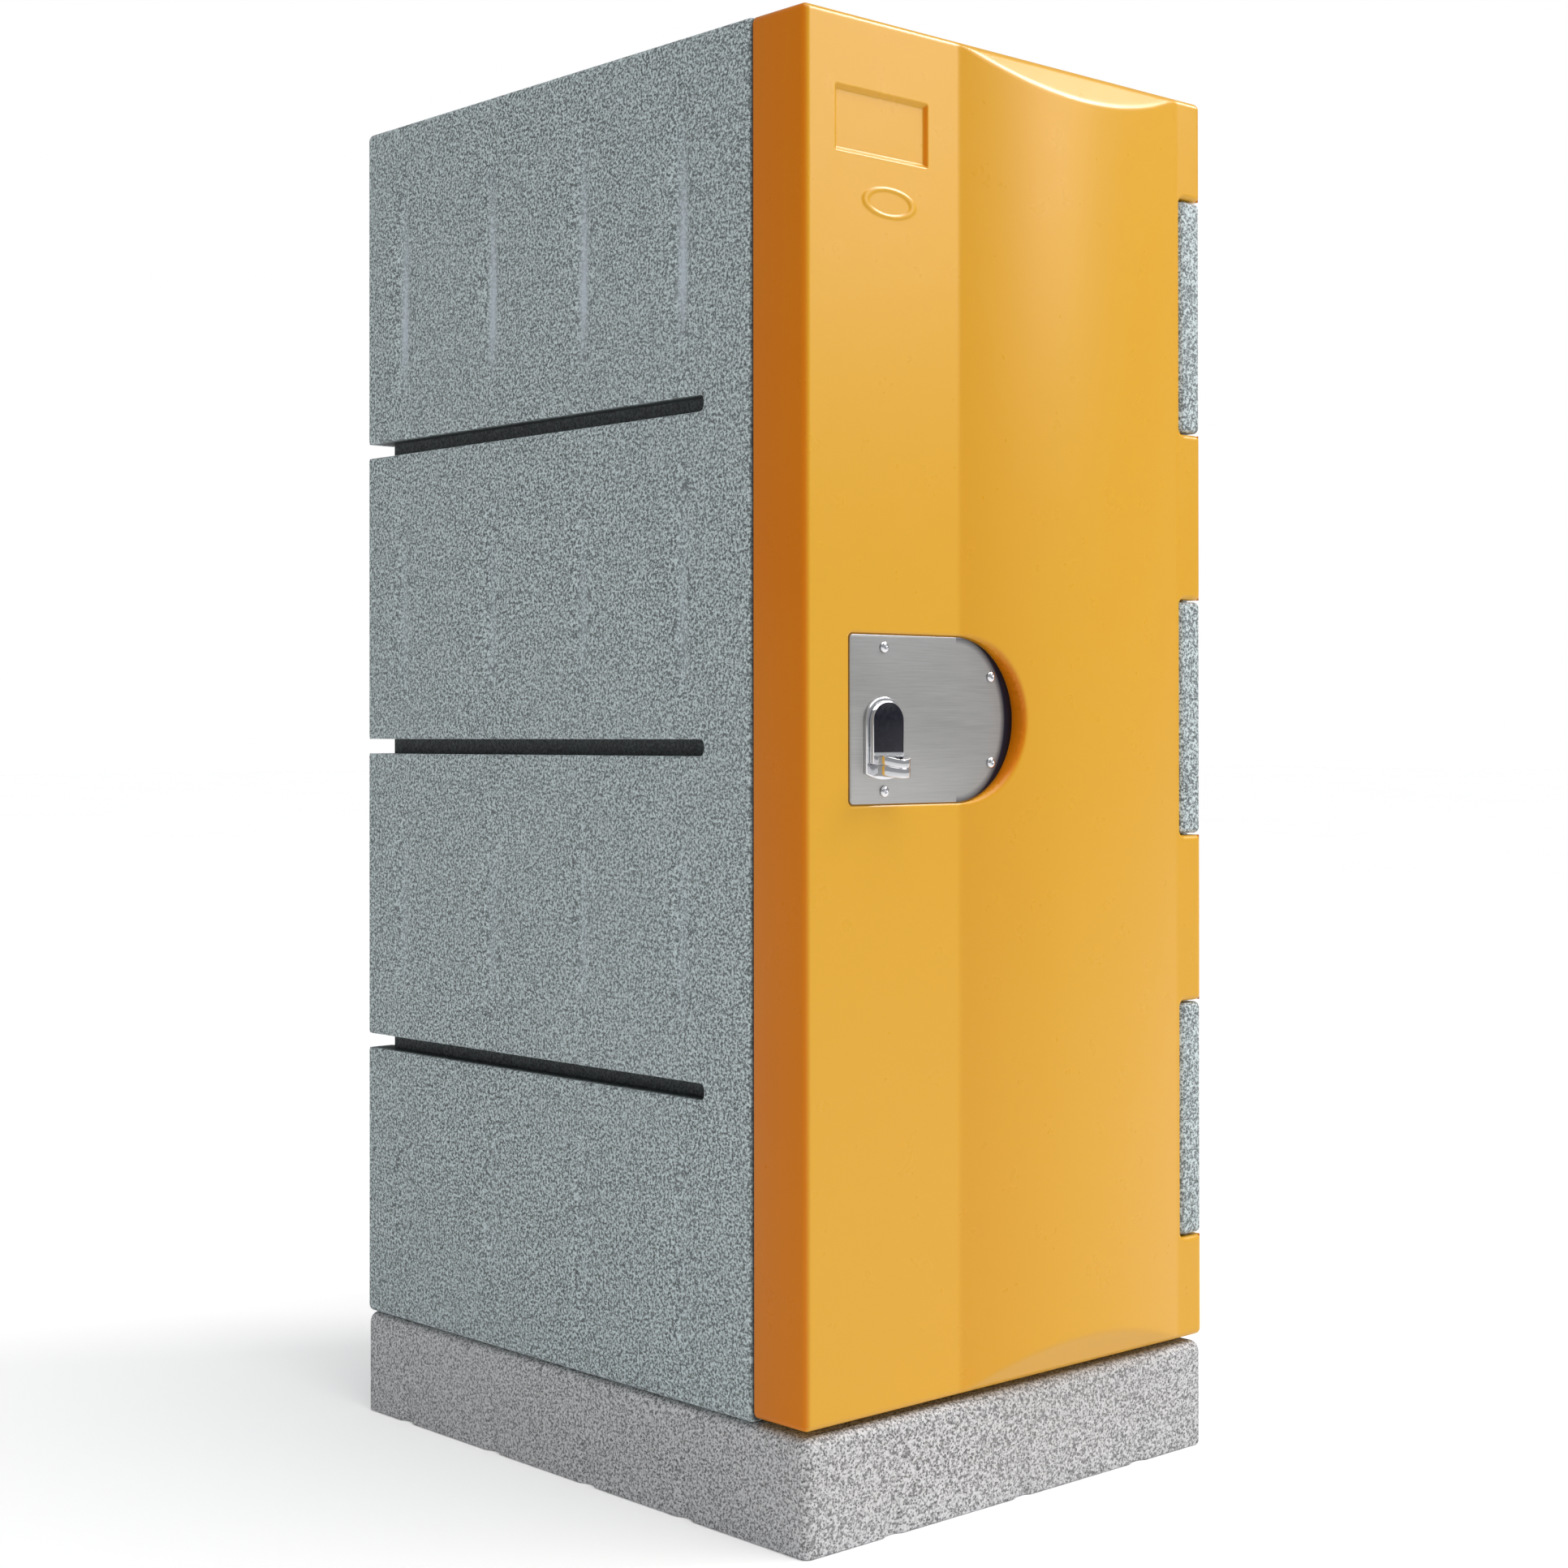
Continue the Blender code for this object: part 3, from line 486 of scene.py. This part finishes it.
ORANGE = orange_plastic()
BODY_GREY = speckled_plastic("speckled_body", (0.46, 0.525, 0.535), 0.38, 1.5, 0.11)
PLINTH_GREY = speckled_plastic("speckled_plinth", (0.57, 0.575, 0.585), 0.55, 1.3, 0.12)
STEEL, CHROME, ZINC, BLACK = brushed_steel(), chrome(), zinc(), black_plastic()


def dress(obj, material, body=None, node=None, angle=32.0):
    """A finish for a new piece, the body that it moves with and the CAD node that it stands for."""
    obj.data.materials.clear()
    obj.data.materials.append(material)
    smooth(obj, angle)
    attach(obj, body)
    if node:
        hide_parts(node)
    return obj


# ---- Body ----


def flute(u, v, low_v, high_v, depth):
    """Shallow upright sinks in a section of a side wall, deepest in their middle and pointed at their ends."""
    total = 0.0
    along = (v - low_v) / (high_v - low_v)
    if not 0 < along < 1:
        return 0.0
    swell = math.sin(math.pi * along) ** 0.7
    for centre in FLUTES:
        total += depth * swell * math.exp(-(((u - centre) / (4.0 + 5.0 * swell)) ** 2))
    return total


def side_rise(u, v):
    sections = zip([BODY_LOW] + GROOVES, GROOVES + [BODY_HIGH])
    sink = 0.0
    for low, high in sections:
        sink += flute(u, v, low + 30, high - 36, TOP_FLUTE_DEPTH if high == BODY_HIGH else FLUTE_DEPTH)
    for z in GROOVES:
        away = box_distance(u, v, GROOVE_START, z - GROOVE_HALF, REAR + 60, z + GROOVE_HALF, 4.5)
        sink += fillet(away, 2.0)
    return -sink


def groove_tool(side, z):
    low, high = z - GROOVE_HALF, z + GROOVE_HALF
    corner = 4.5
    outline = arc(GROOVE_START + corner, low + corner, corner, 270, 180, 6)
    outline += arc(GROOVE_START + corner, high - corner, corner, 180, 90, 6)
    outline += [(REAR + 8, high), (REAR + 8, low)]
    return prism("groove_tool", outline, -8, GROOVE_DEPTH, side_face(side))


def rear_groove_tool(side, z):
    """The groove's run across the back, as far as the middle of the seam between two panels."""
    outline = rectangle(REAR - GROOVE_DEPTH, z - GROOVE_HALF, REAR + 8, z + GROOVE_HALF)
    return prism("rear_groove_tool", outline, -8, WALL + 8, side_face(side))


def side_panel(side, node):
    us = lines(
        BODY_FRONT, REAR, 9.0,
        near(BODY_FRONT, 6, 1.0), near(REAR, 6, 1.0), near(GROOVE_START + 2, 7, 0.8),
        *(near(c, 14, 1.8) for c in FLUTES),
    )
    vs = lines(
        BODY_LOW, BODY_HIGH, 9.0,
        near(BODY_LOW, 6, 1.0), near(BODY_HIGH, 6, 1.0),
        *(near(z, 9, 0.7) for z in GROOVES),
    )
    panel = slab(node + "_skin", us, vs, WALL, 5.0, side_rise, side_face(side), 0.8)
    tools = [f(side, z) for z in GROOVES for f in (groove_tool, rear_groove_tool)]
    boolean(panel, tools)
    if side > 0:
        boolean(panel, [knuckle(z) for z in KNUCKLES], "UNION")
    return dress(panel, BODY_GREY, "cabinet", node)


def knuckle(z):
    """A long knuckle with rounded corners and ends that reaches forward from the right panel."""
    left, right, front, back = DOOR_EDGE + 0.8, HALF, FRONT + 0.3, BODY_FRONT + 4
    corner, swing, end = 4.5, 6.6, 4.0

    def ring(height, inset):
        outline = arc(left + swing, front + swing, swing - inset, 180, 270, 8)
        outline += arc(right - corner, front + corner, corner - inset, 270, 360, 8)
        return [(x, y, height) for x, y in outline + [(right - inset, back), (left + inset, back)]]

    turns = quarter(5)
    low, high = z - KNUCKLE_HALF, z + KNUCKLE_HALF
    rings = [ring(low + end * (1 - math.sin(t)), end * (1 - math.cos(t))) for t in reversed(turns)]
    rings += [ring(high - end * (1 - math.sin(t)), end * (1 - math.cos(t))) for t in turns]
    return loft("knuckle", rings)


def back_panel():
    inner = HALF - WALL - 0.3

    def rise(u, v):
        return -sum(fillet(abs(v - z) - GROOVE_HALF, 2.0) for z in GROOVES)

    us = lines(-inner, inner, 24.0, near(-inner, 3, 0.8), near(inner, 3, 0.8))
    vs = lines(
        BODY_LOW, BODY_HIGH, 20.0,
        near(BODY_LOW, 3, 0.8), near(BODY_HIGH, 3, 0.8),
        *(near(z, 9, 0.7) for z in GROOVES),
    )
    face = Matrix(((-1, 0, 0, 0), (0, 0, -1, REAR), (0, 1, 0, 0), (0, 0, 0, 1)))
    panel = slab("back_panel_skin", us, vs, WALL, 1.2, rise, face, 0.8)
    tools = []
    for z in GROOVES:
        outline = rectangle(-inner - 5, z - GROOVE_HALF, inner + 5, z + GROOVE_HALF)
        tools.append(prism("back_tool", outline, -8, GROOVE_DEPTH, face))
    boolean(panel, tools)
    return dress(panel, BODY_GREY, "cabinet", "back_panel")


def level_panel(node):
    """Top and bottom of the compartment, with eased edges."""
    low, high = edges(node)
    inner = HALF - WALL - 0.3
    us = lines(-inner, inner, 30.0, near(-inner, 3, 0.8), near(inner, 3, 0.8))
    vs = lines(low.y, high.y, 30.0, near(low.y, 3, 0.8), near(high.y, 3, 0.8))
    top = node == "top_panel"
    turn, level = (-1, high.z) if top else (1, low.z)
    face = Matrix(((1, 0, 0, 0), (0, 1, 0, 0), (0, 0, turn, level), (0, 0, 0, 1)))
    panel = slab(node + "_skin", us, vs, high.z - low.z, 1.5, lambda u, v: 0.0, face, 1.2)
    return dress(panel, BODY_GREY, "cabinet", node)


PLINTH_SIDE_FLUTES = [FRONT + t for t in (120.0, 225.0, 337.0, 448.0)]
PLINTH_FRONT_FLUTES = [-HALF + w for w in (75.0, 195.0, 312.0)]


def plinth():
    """A rounded block whose sides have shallow upright sinks, open at the floor."""
    corner, top = 7.0, 8.0
    front = lines(-HALF + corner, HALF - corner, 12.0, *(near(c, 12, 1.5) for c in PLINTH_FRONT_FLUTES))
    side = lines(FRONT + corner, REAR - corner, 12.0, *(near(c, 12, 1.5) for c in PLINTH_SIDE_FLUTES))

    def turn(cx, cy, start):
        """A corner's points with their outward direction."""
        points = arc(cx, cy, corner, start, start + 90, 7)[1:-1]
        return [(x, y, (x - cx) / corner, (y - cy) / corner) for x, y in points]

    rim = [(x, FRONT, 0, -1) for x in front] + turn(HALF - corner, FRONT + corner, -90)
    rim += [(HALF, y, 1, 0) for y in side] + turn(HALF - corner, REAR - corner, 0)
    rim += [(x, REAR, 0, 1) for x in reversed(front)] + turn(-HALF + corner, REAR - corner, 90)
    rim += [(-HALF, y, -1, 0) for y in reversed(side)] + turn(-HALF + corner, FRONT + corner, 180)

    def sink(x, y, nx, z):
        """Deepest at the floor, fading out towards the top."""
        depth = 2.6 * (1 - blend_in(z / 58.0))
        places, along = (PLINTH_SIDE_FLUTES, y) if abs(nx) > 0.9 else (PLINTH_FRONT_FLUTES, x)
        if 0.1 < abs(nx) < 0.9:
            return 0.0
        return sum(depth * math.exp(-(((along - c) / 6.5) ** 4)) for c in places)

    high = PLINTH_HIGH.z
    levels = [(0.0, 1.6), (0.8, 0.4), (2.0, 0.0)] + [(z, 0.0) for z in lines(2.0, high - top, 6.0)[1:]]
    levels += [(high - top * (1 - math.sin(t)), top * (1 - math.cos(t))) for t in quarter(7, 1)]
    rings = []
    for z, inset in levels:
        ring = []
        for x, y, nx, ny in rim:
            away = inset + sink(x, y, nx, z)
            ring.append((x - nx * away, y - ny * away, z))
        rings.append(ring)
    made = loft("plinth_skin", rings)
    return dress(made, PLINTH_GREY, "cabinet", "plinth")


# ---- Door ----


def plate_distance(x, z, grow):
    """Signed distance to the lock plate's outline, grown by grow."""
    radius = PLATE_R + grow
    if x > PLATE_ARC_X:
        return math.hypot(x - PLATE_ARC_X, z - PLATE_Z) - radius
    return box_distance(x, z, PLATE_LOW.x - grow, PLATE_Z - radius, PLATE_ARC_X + 400, PLATE_Z + radius, 3.0)


def crown(x, z):
    """How far the door's crowned part stands forward of its flat part."""
    ease = 2.5
    u = x - CROWN_LEFT
    if u <= -ease or u >= CROWN_SPAN + ease:
        return 0.0
    left = (u + ease) ** 2 / (4 * ease) if u < ease else u
    right = CROWN_SPAN - u
    right = (right + ease) ** 2 / (4 * ease) if right < ease else right
    share = left / (left + right)
    height = CROWN_RISE * 4 * share * (1 - share)
    for away in (DOOR_HIGH - 0.8 - z, z - DOOR_LOW - 0.8):
        cap, soft = max(away, 0.0) / 1.8, 1.3
        meet = max(soft - abs(height - cap), 0.0) / soft
        height = max(min(height, cap) - meet * meet * soft / 4, 0.0)
    return height


def emblem(x, z):
    """A plain raised oval ring."""
    across = math.hypot((x - EMBLEM_X) / 24.0, (z - EMBLEM_Z) / 10.0)
    ring = abs(across - 0.86) / 0.14
    return 0.55 * (1 - blend_in((ring - 0.45) / 0.55))


NAMEPLATE = (-HALF + 26.6, BODY_LOW + 804.1, -HALF + 105.9, BODY_LOW + 844.1)
EMBLEM_X, EMBLEM_Z = -HALF + 72.1, BODY_LOW + 775.7
NOTCHES = [(z - KNUCKLE_HALF - KNUCKLE_GAP, z + KNUCKLE_HALF + KNUCKLE_GAP) for z in KNUCKLES]


def door_rise(x, z):
    height = crown(x, z)
    away = plate_distance(x, z, RECESS_GAP)
    if away < 5:
        radius = min(3.4, max(0.9, 0.42 * (height + RECESS_FLOOR)))
        height -= fillet(away, radius)
    low_u, low_v, high_u, high_v = NAMEPLATE
    inside = -box_distance(x, z, low_u, low_v, high_u, high_v, 0.6)
    if inside > -1.4:
        height -= 2.4 * blend_in((inside + 1.3) / 3.2)
    if abs(x - EMBLEM_X) < 26 and abs(z - EMBLEM_Z) < 12:
        height += emblem(x, z)
    if x > DOOR_EDGE - 5:
        for low, high in NOTCHES:
            away = box_distance(x, z, DOOR_EDGE, low, HALF + 200, high, 4.0)
            radius = 1.4 + 2.2 * blend_in((x - DOOR_EDGE) / 6.0)
            height -= fillet(away, radius)
    return height


def door_shell():
    notch_marks = [m for pair in NOTCHES for m in pair]
    us = lines(
        -HALF, HALF, 4.0,
        near(-HALF, 6, 0.9), near(HALF, 6, 0.9),
        near(NAMEPLATE[0] + 0.5, 2.4, 0.5), near(NAMEPLATE[2] - 0.5, 2.4, 0.5),
        (EMBLEM_X - 26, EMBLEM_X + 26, 0.9),
        (PLATE_LOW.x - 5, PLATE_HIGH.x + 6, 1.1), near(CROWN_LEFT, 4, 0.8),
        near(CROWN_LEFT + CROWN_SPAN, 4, 0.8), near(DOOR_EDGE, 6, 0.8),
    )
    vs = lines(
        DOOR_LOW, DOOR_HIGH, 10.0,
        near(DOOR_LOW, 6, 0.9), near(DOOR_HIGH, 6, 0.9), near(DOOR_LOW, 26, 1.3), near(DOOR_HIGH, 26, 1.3),
        near(NAMEPLATE[1] + 0.5, 2.4, 0.5), near(NAMEPLATE[3] - 0.5, 2.4, 0.5),
        (EMBLEM_Z - 12, EMBLEM_Z + 12, 0.7),
        (PLATE_LOW.z - 6, PLATE_HIGH.z + 6, 1.1),
        *(near(m, 6, 0.8) for m in notch_marks),
    )
    face = Matrix.Translation((0, FRONT, 0)) @ FRONT_FACE
    shell = slab("door_shell_skin", us, vs, DOOR_BACK - FRONT, 4.5, door_rise, face, 1.2)
    inside = 4.0
    cavity = rectangle(-HALF + inside, DOOR_LOW + inside, DOOR_EDGE - inside, DOOR_HIGH - inside)
    tools = [prism("cavity", cavity, inside + 2, 80, face)]
    for low, high in NOTCHES:
        outline = arc(DOOR_EDGE + 4, low + 4, 4, 270, 180, 6) + arc(DOOR_EDGE + 4, high - 4, 4, 180, 90, 6)
        outline += [(HALF + 20, high), (HALF + 20, low)]
        tools.append(prism("notch", outline, -20, 80, face))
    behind = rectangle(DOOR_EDGE + 0.01, DOOR_LOW - 9, HALF + 9, DOOR_HIGH + 9)
    tools.append(prism("behind", behind, 45.5, 80, face))
    tools.append(prism("recess", plate_outline(RECESS_GAP, 48), -40, RECESS_FLOOR, face))
    boolean(shell, tools)
    return dress(shell, ORANGE, "door", "door_shell", 38.0)


def plate_outline(grow=0.0, steps=40, corner=3.0):
    radius, left = PLATE_R + grow, PLATE_LOW.x - grow
    points = arc(PLATE_ARC_X, PLATE_Z, radius, -90, 90, steps)
    points += arc(left + corner, PLATE_Z + radius - corner, corner, 90, 180, 6)
    points += arc(left + corner, PLATE_Z - radius + corner, corner, 180, 270, 6)
    return points


def front_face(y=0.0):
    """u = X, v = Z and w towards the back, from a plane at y."""
    return Matrix.Translation((0, y, 0)) @ FRONT_FACE


def lock_plate():
    """A flat plate whose half-round end rolls back a little towards its rim."""
    def ring(inset, depth, flat):
        found = []
        for point, moved in zip(plate_outline(), offset_ring(plate_outline(), inset)):
            turn = max(point[0] - PLATE_ARC_X, 0.0) / PLATE_R
            x = moved.x - max(moved.x - PLATE_ARC_X, 0.0) * (1 - ROLL) * flat
            found.append((x, moved.y, PLATE_LOW.y + depth + 0.8 * blend_in(turn) * (1 - flat) ** 1.6))
        return found

    steps = [i / 6 for i in range(7)]
    rings = [[(u, v, PLATE_HIGH.y) for u, v, _ in ring(0.0, 0.0, 0.0)]]
    rings += [ring(0.0, 0.5, 0.0), ring(0.15, 0.15, 0.0), ring(0.5, 0.0, 0.0)]
    rings += [ring(0.5, 0.0, t) for t in steps[1:]]
    made = loft("lock_plate_skin", rings, front_face())
    return dress(made, STEEL, "door", "lock_plate", 40.0)


def dome(node, body, material, rise):
    """A screw head with a domed top, a rounded rim and a socket in its middle."""
    low, high = edges(node)
    x, z = (low.x + high.x) / 2, (low.z + high.z) / 2
    radius = (high.x - low.x) / 2
    profile = [(radius, 0.0), (radius, 0.35)]
    profile += [(radius * math.cos(t) ** 0.8, 0.35 + rise * math.sin(t)) for t in quarter(8, 1)[:6]]
    profile += [(0.36 * radius, profile[-1][1]), (0.28 * radius, profile[-1][1] - 0.9)]
    base = low.y + 1.2
    rings = [[(u, v, base - h) for u, v in arc(x, z, r, 0, 360, 32)[:-1]] for r, h in profile]
    head = loft(node + "_skin", rings, front_face())
    return dress(head, material, body, node, 50.0)


def lever_outline(half, foot):
    """A round arch with a foot that is an arc about the latch axis."""
    angle = math.degrees(math.acos(half / foot))
    return arc(LATCH_X, LATCH_Z, half, 0, 180, 24) + arc(LATCH_X, LATCH_Z, foot, 180 + angle, 360 - angle, 10)


def tab_rings(inner, outer, nose_front, back, bevel):
    """Rings up a padlock tab: seen from above, straight sides and a half-round nose."""

    def outline(inset):
        half = TAB_HALF - inset
        nose = arc(LATCH_X, nose_front + TAB_HALF, half, 180, 360, 28)
        return nose + [(LATCH_X + half, back), (LATCH_X - half, back)]

    turns = quarter(4)
    levels = [(outer - bevel * (1 - math.sin(t)), bevel * (1 - math.cos(t))) for t in reversed(turns)]
    levels += [(inner + bevel * (1 - math.sin(t)), bevel * (1 - math.cos(t))) for t in turns]
    rings = []
    for reach, inset in levels:
        drop = [math.sqrt(reach**2 - (x - LATCH_X) ** 2) for x, _ in outline(inset)]
        rings.append([(x, y, LATCH_Z - d) for (x, y), d in zip(outline(inset), drop)])
    return rings


def padlock_tool():
    hole = arc(LATCH_X, PADLOCK_Y, PADLOCK_HOLE, 0, 360, 28)[:-1]
    return loft("hole_tool", [[(x, y, z) for x, y in hole] for z in (LATCH_Z - 50, LATCH_Z - 21.5)])


def latch_rosette():
    outline = lever_outline(FLANGE_HIGH.x - LATCH_X, 36.5)
    base = PLATE_LOW.y - 0.3
    made = plate("latch_rosette_skin", outline, base - 2.2, base, 0.8, front_face(), 4)
    tab = loft("tab", tab_rings(TAB_SPLIT, TAB_FOOT, FLANGE_LOW.y, base - 0.6, 0.7))
    boolean(made, [tab], "UNION")
    boolean(made, [padlock_tool()])
    return dress(made, CHROME, "door", "latch_rosette", 40.0)


def turn_lever():
    half = LEVER_HIGH.x - LATCH_X
    front = INLAY_LOW.y - 0.1
    back = front + 3.0
    made = plate("turn_lever_skin", lever_outline(half, TAB_SPLIT), front, back, 0.9, front_face(), 5)
    tab = loft("tab", tab_rings(TAB_TOP, TAB_SPLIT, LEVER_LOW.y, front + 1.2, 0.7))
    boolean(made, [tab], "UNION")
    pocket = prism("pocket", inlay_outline(0.15), front - 3, front + 0.9, front_face())
    boolean(made, [pocket, padlock_tool()])
    return dress(made, CHROME, "latch", "turn_lever", 40.0)


def inlay_outline(grow):
    """A low pointed arch over a straight-sided field."""
    half = (INLAY_HIGH.x - INLAY_LOW.x) / 2 + grow
    low, spring, top = INLAY_LOW.z - grow, LATCH_Z + 2.0, INLAY_HIGH.z + grow
    rise = top - spring
    right = [(LATCH_X + half * math.cos(t), spring + rise * math.sin(t) ** 1.15) for t in quarter(12)[:-1]]
    left = [(2 * LATCH_X - x, z) for x, z in reversed(right)]
    return [(LATCH_X + half, low)] + right + [(LATCH_X, top)] + left + [(LATCH_X - half, low)]


def lever_inlay():
    made = plate("lever_inlay_skin", inlay_outline(0.0), INLAY_LOW.y, INLAY_HIGH.y, 0.25, front_face(), 3)
    return dress(made, BLACK, "latch", "lever_inlay", 40.0)


side_panel(-1, "left_side_panel")
side_panel(1, "right_side_panel")
back_panel()
level_panel("top_panel")
level_panel("bottom_panel")
plinth()
door_shell()
lock_plate()
for number in range(1, 5):
    dome(f"plate_screw_{number}", "door", CHROME, 1.3)
latch_rosette()
turn_lever()
lever_inlay()

for name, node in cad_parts.items():
    kept = {"door_inner_panel": ORANGE, "hinge_rod_cap": ORANGE, "strike_plate": STEEL}.get(name, ZINC)
    if name.startswith("plinth_dowel"):
        kept = BLACK
    node.data.materials.clear()
    node.data.materials.append(kept)


# ---- Stage: pale floor, soft light and the camera ----


def stage():
    floor = bpy.data.meshes.new("floor")
    reach = 30.0
    floor.from_pydata([(x, y, 0) for x, y in rectangle(-reach, -reach, reach, reach)], [], [(0, 1, 2, 3)])
    floor = bpy.data.objects.new("floor", floor)
    bpy.context.scene.collection.objects.link(floor)
    pale = Nodes("floor_pale")
    mottle = pale.noise(0.8, 2.0, 0.5)
    pale.set(
        Base_Color=pale.mix(pale.spread(mottle, 0.3, 0.7), (0.93, 0.93, 0.93), (0.95, 0.95, 0.95)),
        Roughness=0.9,
        Specular_IOR_Level=0.1,
        Emission_Color=(1.0, 1.0, 1.0),
        Emission_Strength=pale.math("MULTIPLY", pale.add("ShaderNodeLightPath").outputs["Is Camera Ray"], 0.22),
    )
    floor.data.materials.append(pale.material)

    # Rays from the camera see a white studio; the object is lit by a dimmer, even surround.
    world = bpy.data.worlds.new("studio")
    world.use_nodes = True
    tree = world.node_tree
    dim = tree.nodes["Background"]
    dim.inputs[0].default_value, dim.inputs[1].default_value = (0.96, 0.98, 1.0, 1.0), 0.34
    white, path, mix = (tree.nodes.new("ShaderNode" + k) for k in ("Background", "LightPath", "MixShader"))
    white.inputs[0].default_value, white.inputs[1].default_value = (1.0, 1.0, 1.0, 1.0), 1.0
    tree.links.new(path.outputs["Is Camera Ray"], mix.inputs[0])
    tree.links.new(dim.outputs[0], mix.inputs[1])
    tree.links.new(white.outputs[0], mix.inputs[2])
    tree.links.new(mix.outputs[0], tree.nodes["World Output"].inputs[0])
    bpy.context.scene.world = world


def area_light(name, place, target, width, height, power, colour):
    light = bpy.data.lights.new(name, "AREA")
    light.shape, light.size, light.size_y = "RECTANGLE", width, height
    light.energy, light.color = power, colour
    obj = bpy.data.objects.new(name, light)
    bpy.context.scene.collection.objects.link(obj)
    obj.location = place
    obj.rotation_euler = (Vector(target) - Vector(place)).to_track_quat("-Z", "Y").to_euler()
    return obj


def camera():
    """At the angle that shows the left side and the front, at half height."""
    yaw, pitch, roll = 0.7670, 0.0047, -0.0012
    flat = Vector((math.sin(yaw), math.cos(yaw), 0))
    right, up = Vector((math.cos(yaw), -math.sin(yaw), 0)), Vector((0, 0, 1))
    forward = flat * math.cos(pitch) + up * math.sin(pitch)
    up = up * math.cos(pitch) - flat * math.sin(pitch)
    right, up = right * math.cos(roll) + up * math.sin(roll), up * math.cos(roll) - right * math.sin(roll)
    lens = bpy.data.cameras.new("camera")
    lens.lens, lens.sensor_width = 58.7, 36.0
    lens.shift_x, lens.shift_y = -0.0825, -0.0396
    obj = bpy.data.objects.new("camera", lens)
    bpy.context.scene.collection.objects.link(obj)
    turn = Matrix((right, up, -forward)).transposed().to_4x4()
    obj.matrix_world = Matrix.Translation(Vector((-1240.6, FRONT - 1185.4, 512.1)) * MM) @ turn
    bpy.context.scene.camera = obj


stage()
sky = bpy.data.lights.new("overhead", "SUN")
sky.energy, sky.angle, sky.color = 1.75, math.radians(50), (1.0, 0.99, 0.98)
sky = bpy.data.objects.new("overhead", sky)
bpy.context.scene.collection.objects.link(sky)
sky.rotation_euler = (Vector((0.03, 0.36, -0.93))).to_track_quat("-Z", "Y").to_euler()
area_light("right_front", (2.05, -2.75, 2.35), (0.0, -0.25, 0.85), 1.5, 2.5, 12, (0.95, 0.98, 1.0))
area_light("top_right", (2.1, -1.5, 2.8), (0.0, -0.25, 0.95), 1.0, 1.2, 42, (1.0, 0.95, 0.96))
# Two cards that only show as reflections: one in the crown's top cap, one down its crest.
CARD_TARGET, CARD_COLOUR = (0.02, -0.25, 0.9), (1.0, 0.94, 0.97)
cap_card = area_light("cap_card", (2.1, -1.5, 2.85), CARD_TARGET, 1.0, 1.0, 38, CARD_COLOUR)
crest_card = area_light("crest_card", (1.97, -2.55, 1.9), CARD_TARGET, 0.5, 1.1, 7, CARD_COLOUR)
cap_card.visible_diffuse = crest_card.visible_diffuse = False
camera()
scene = bpy.context.scene
scene.view_settings.view_transform = "Standard"
scene.view_settings.look = "None"
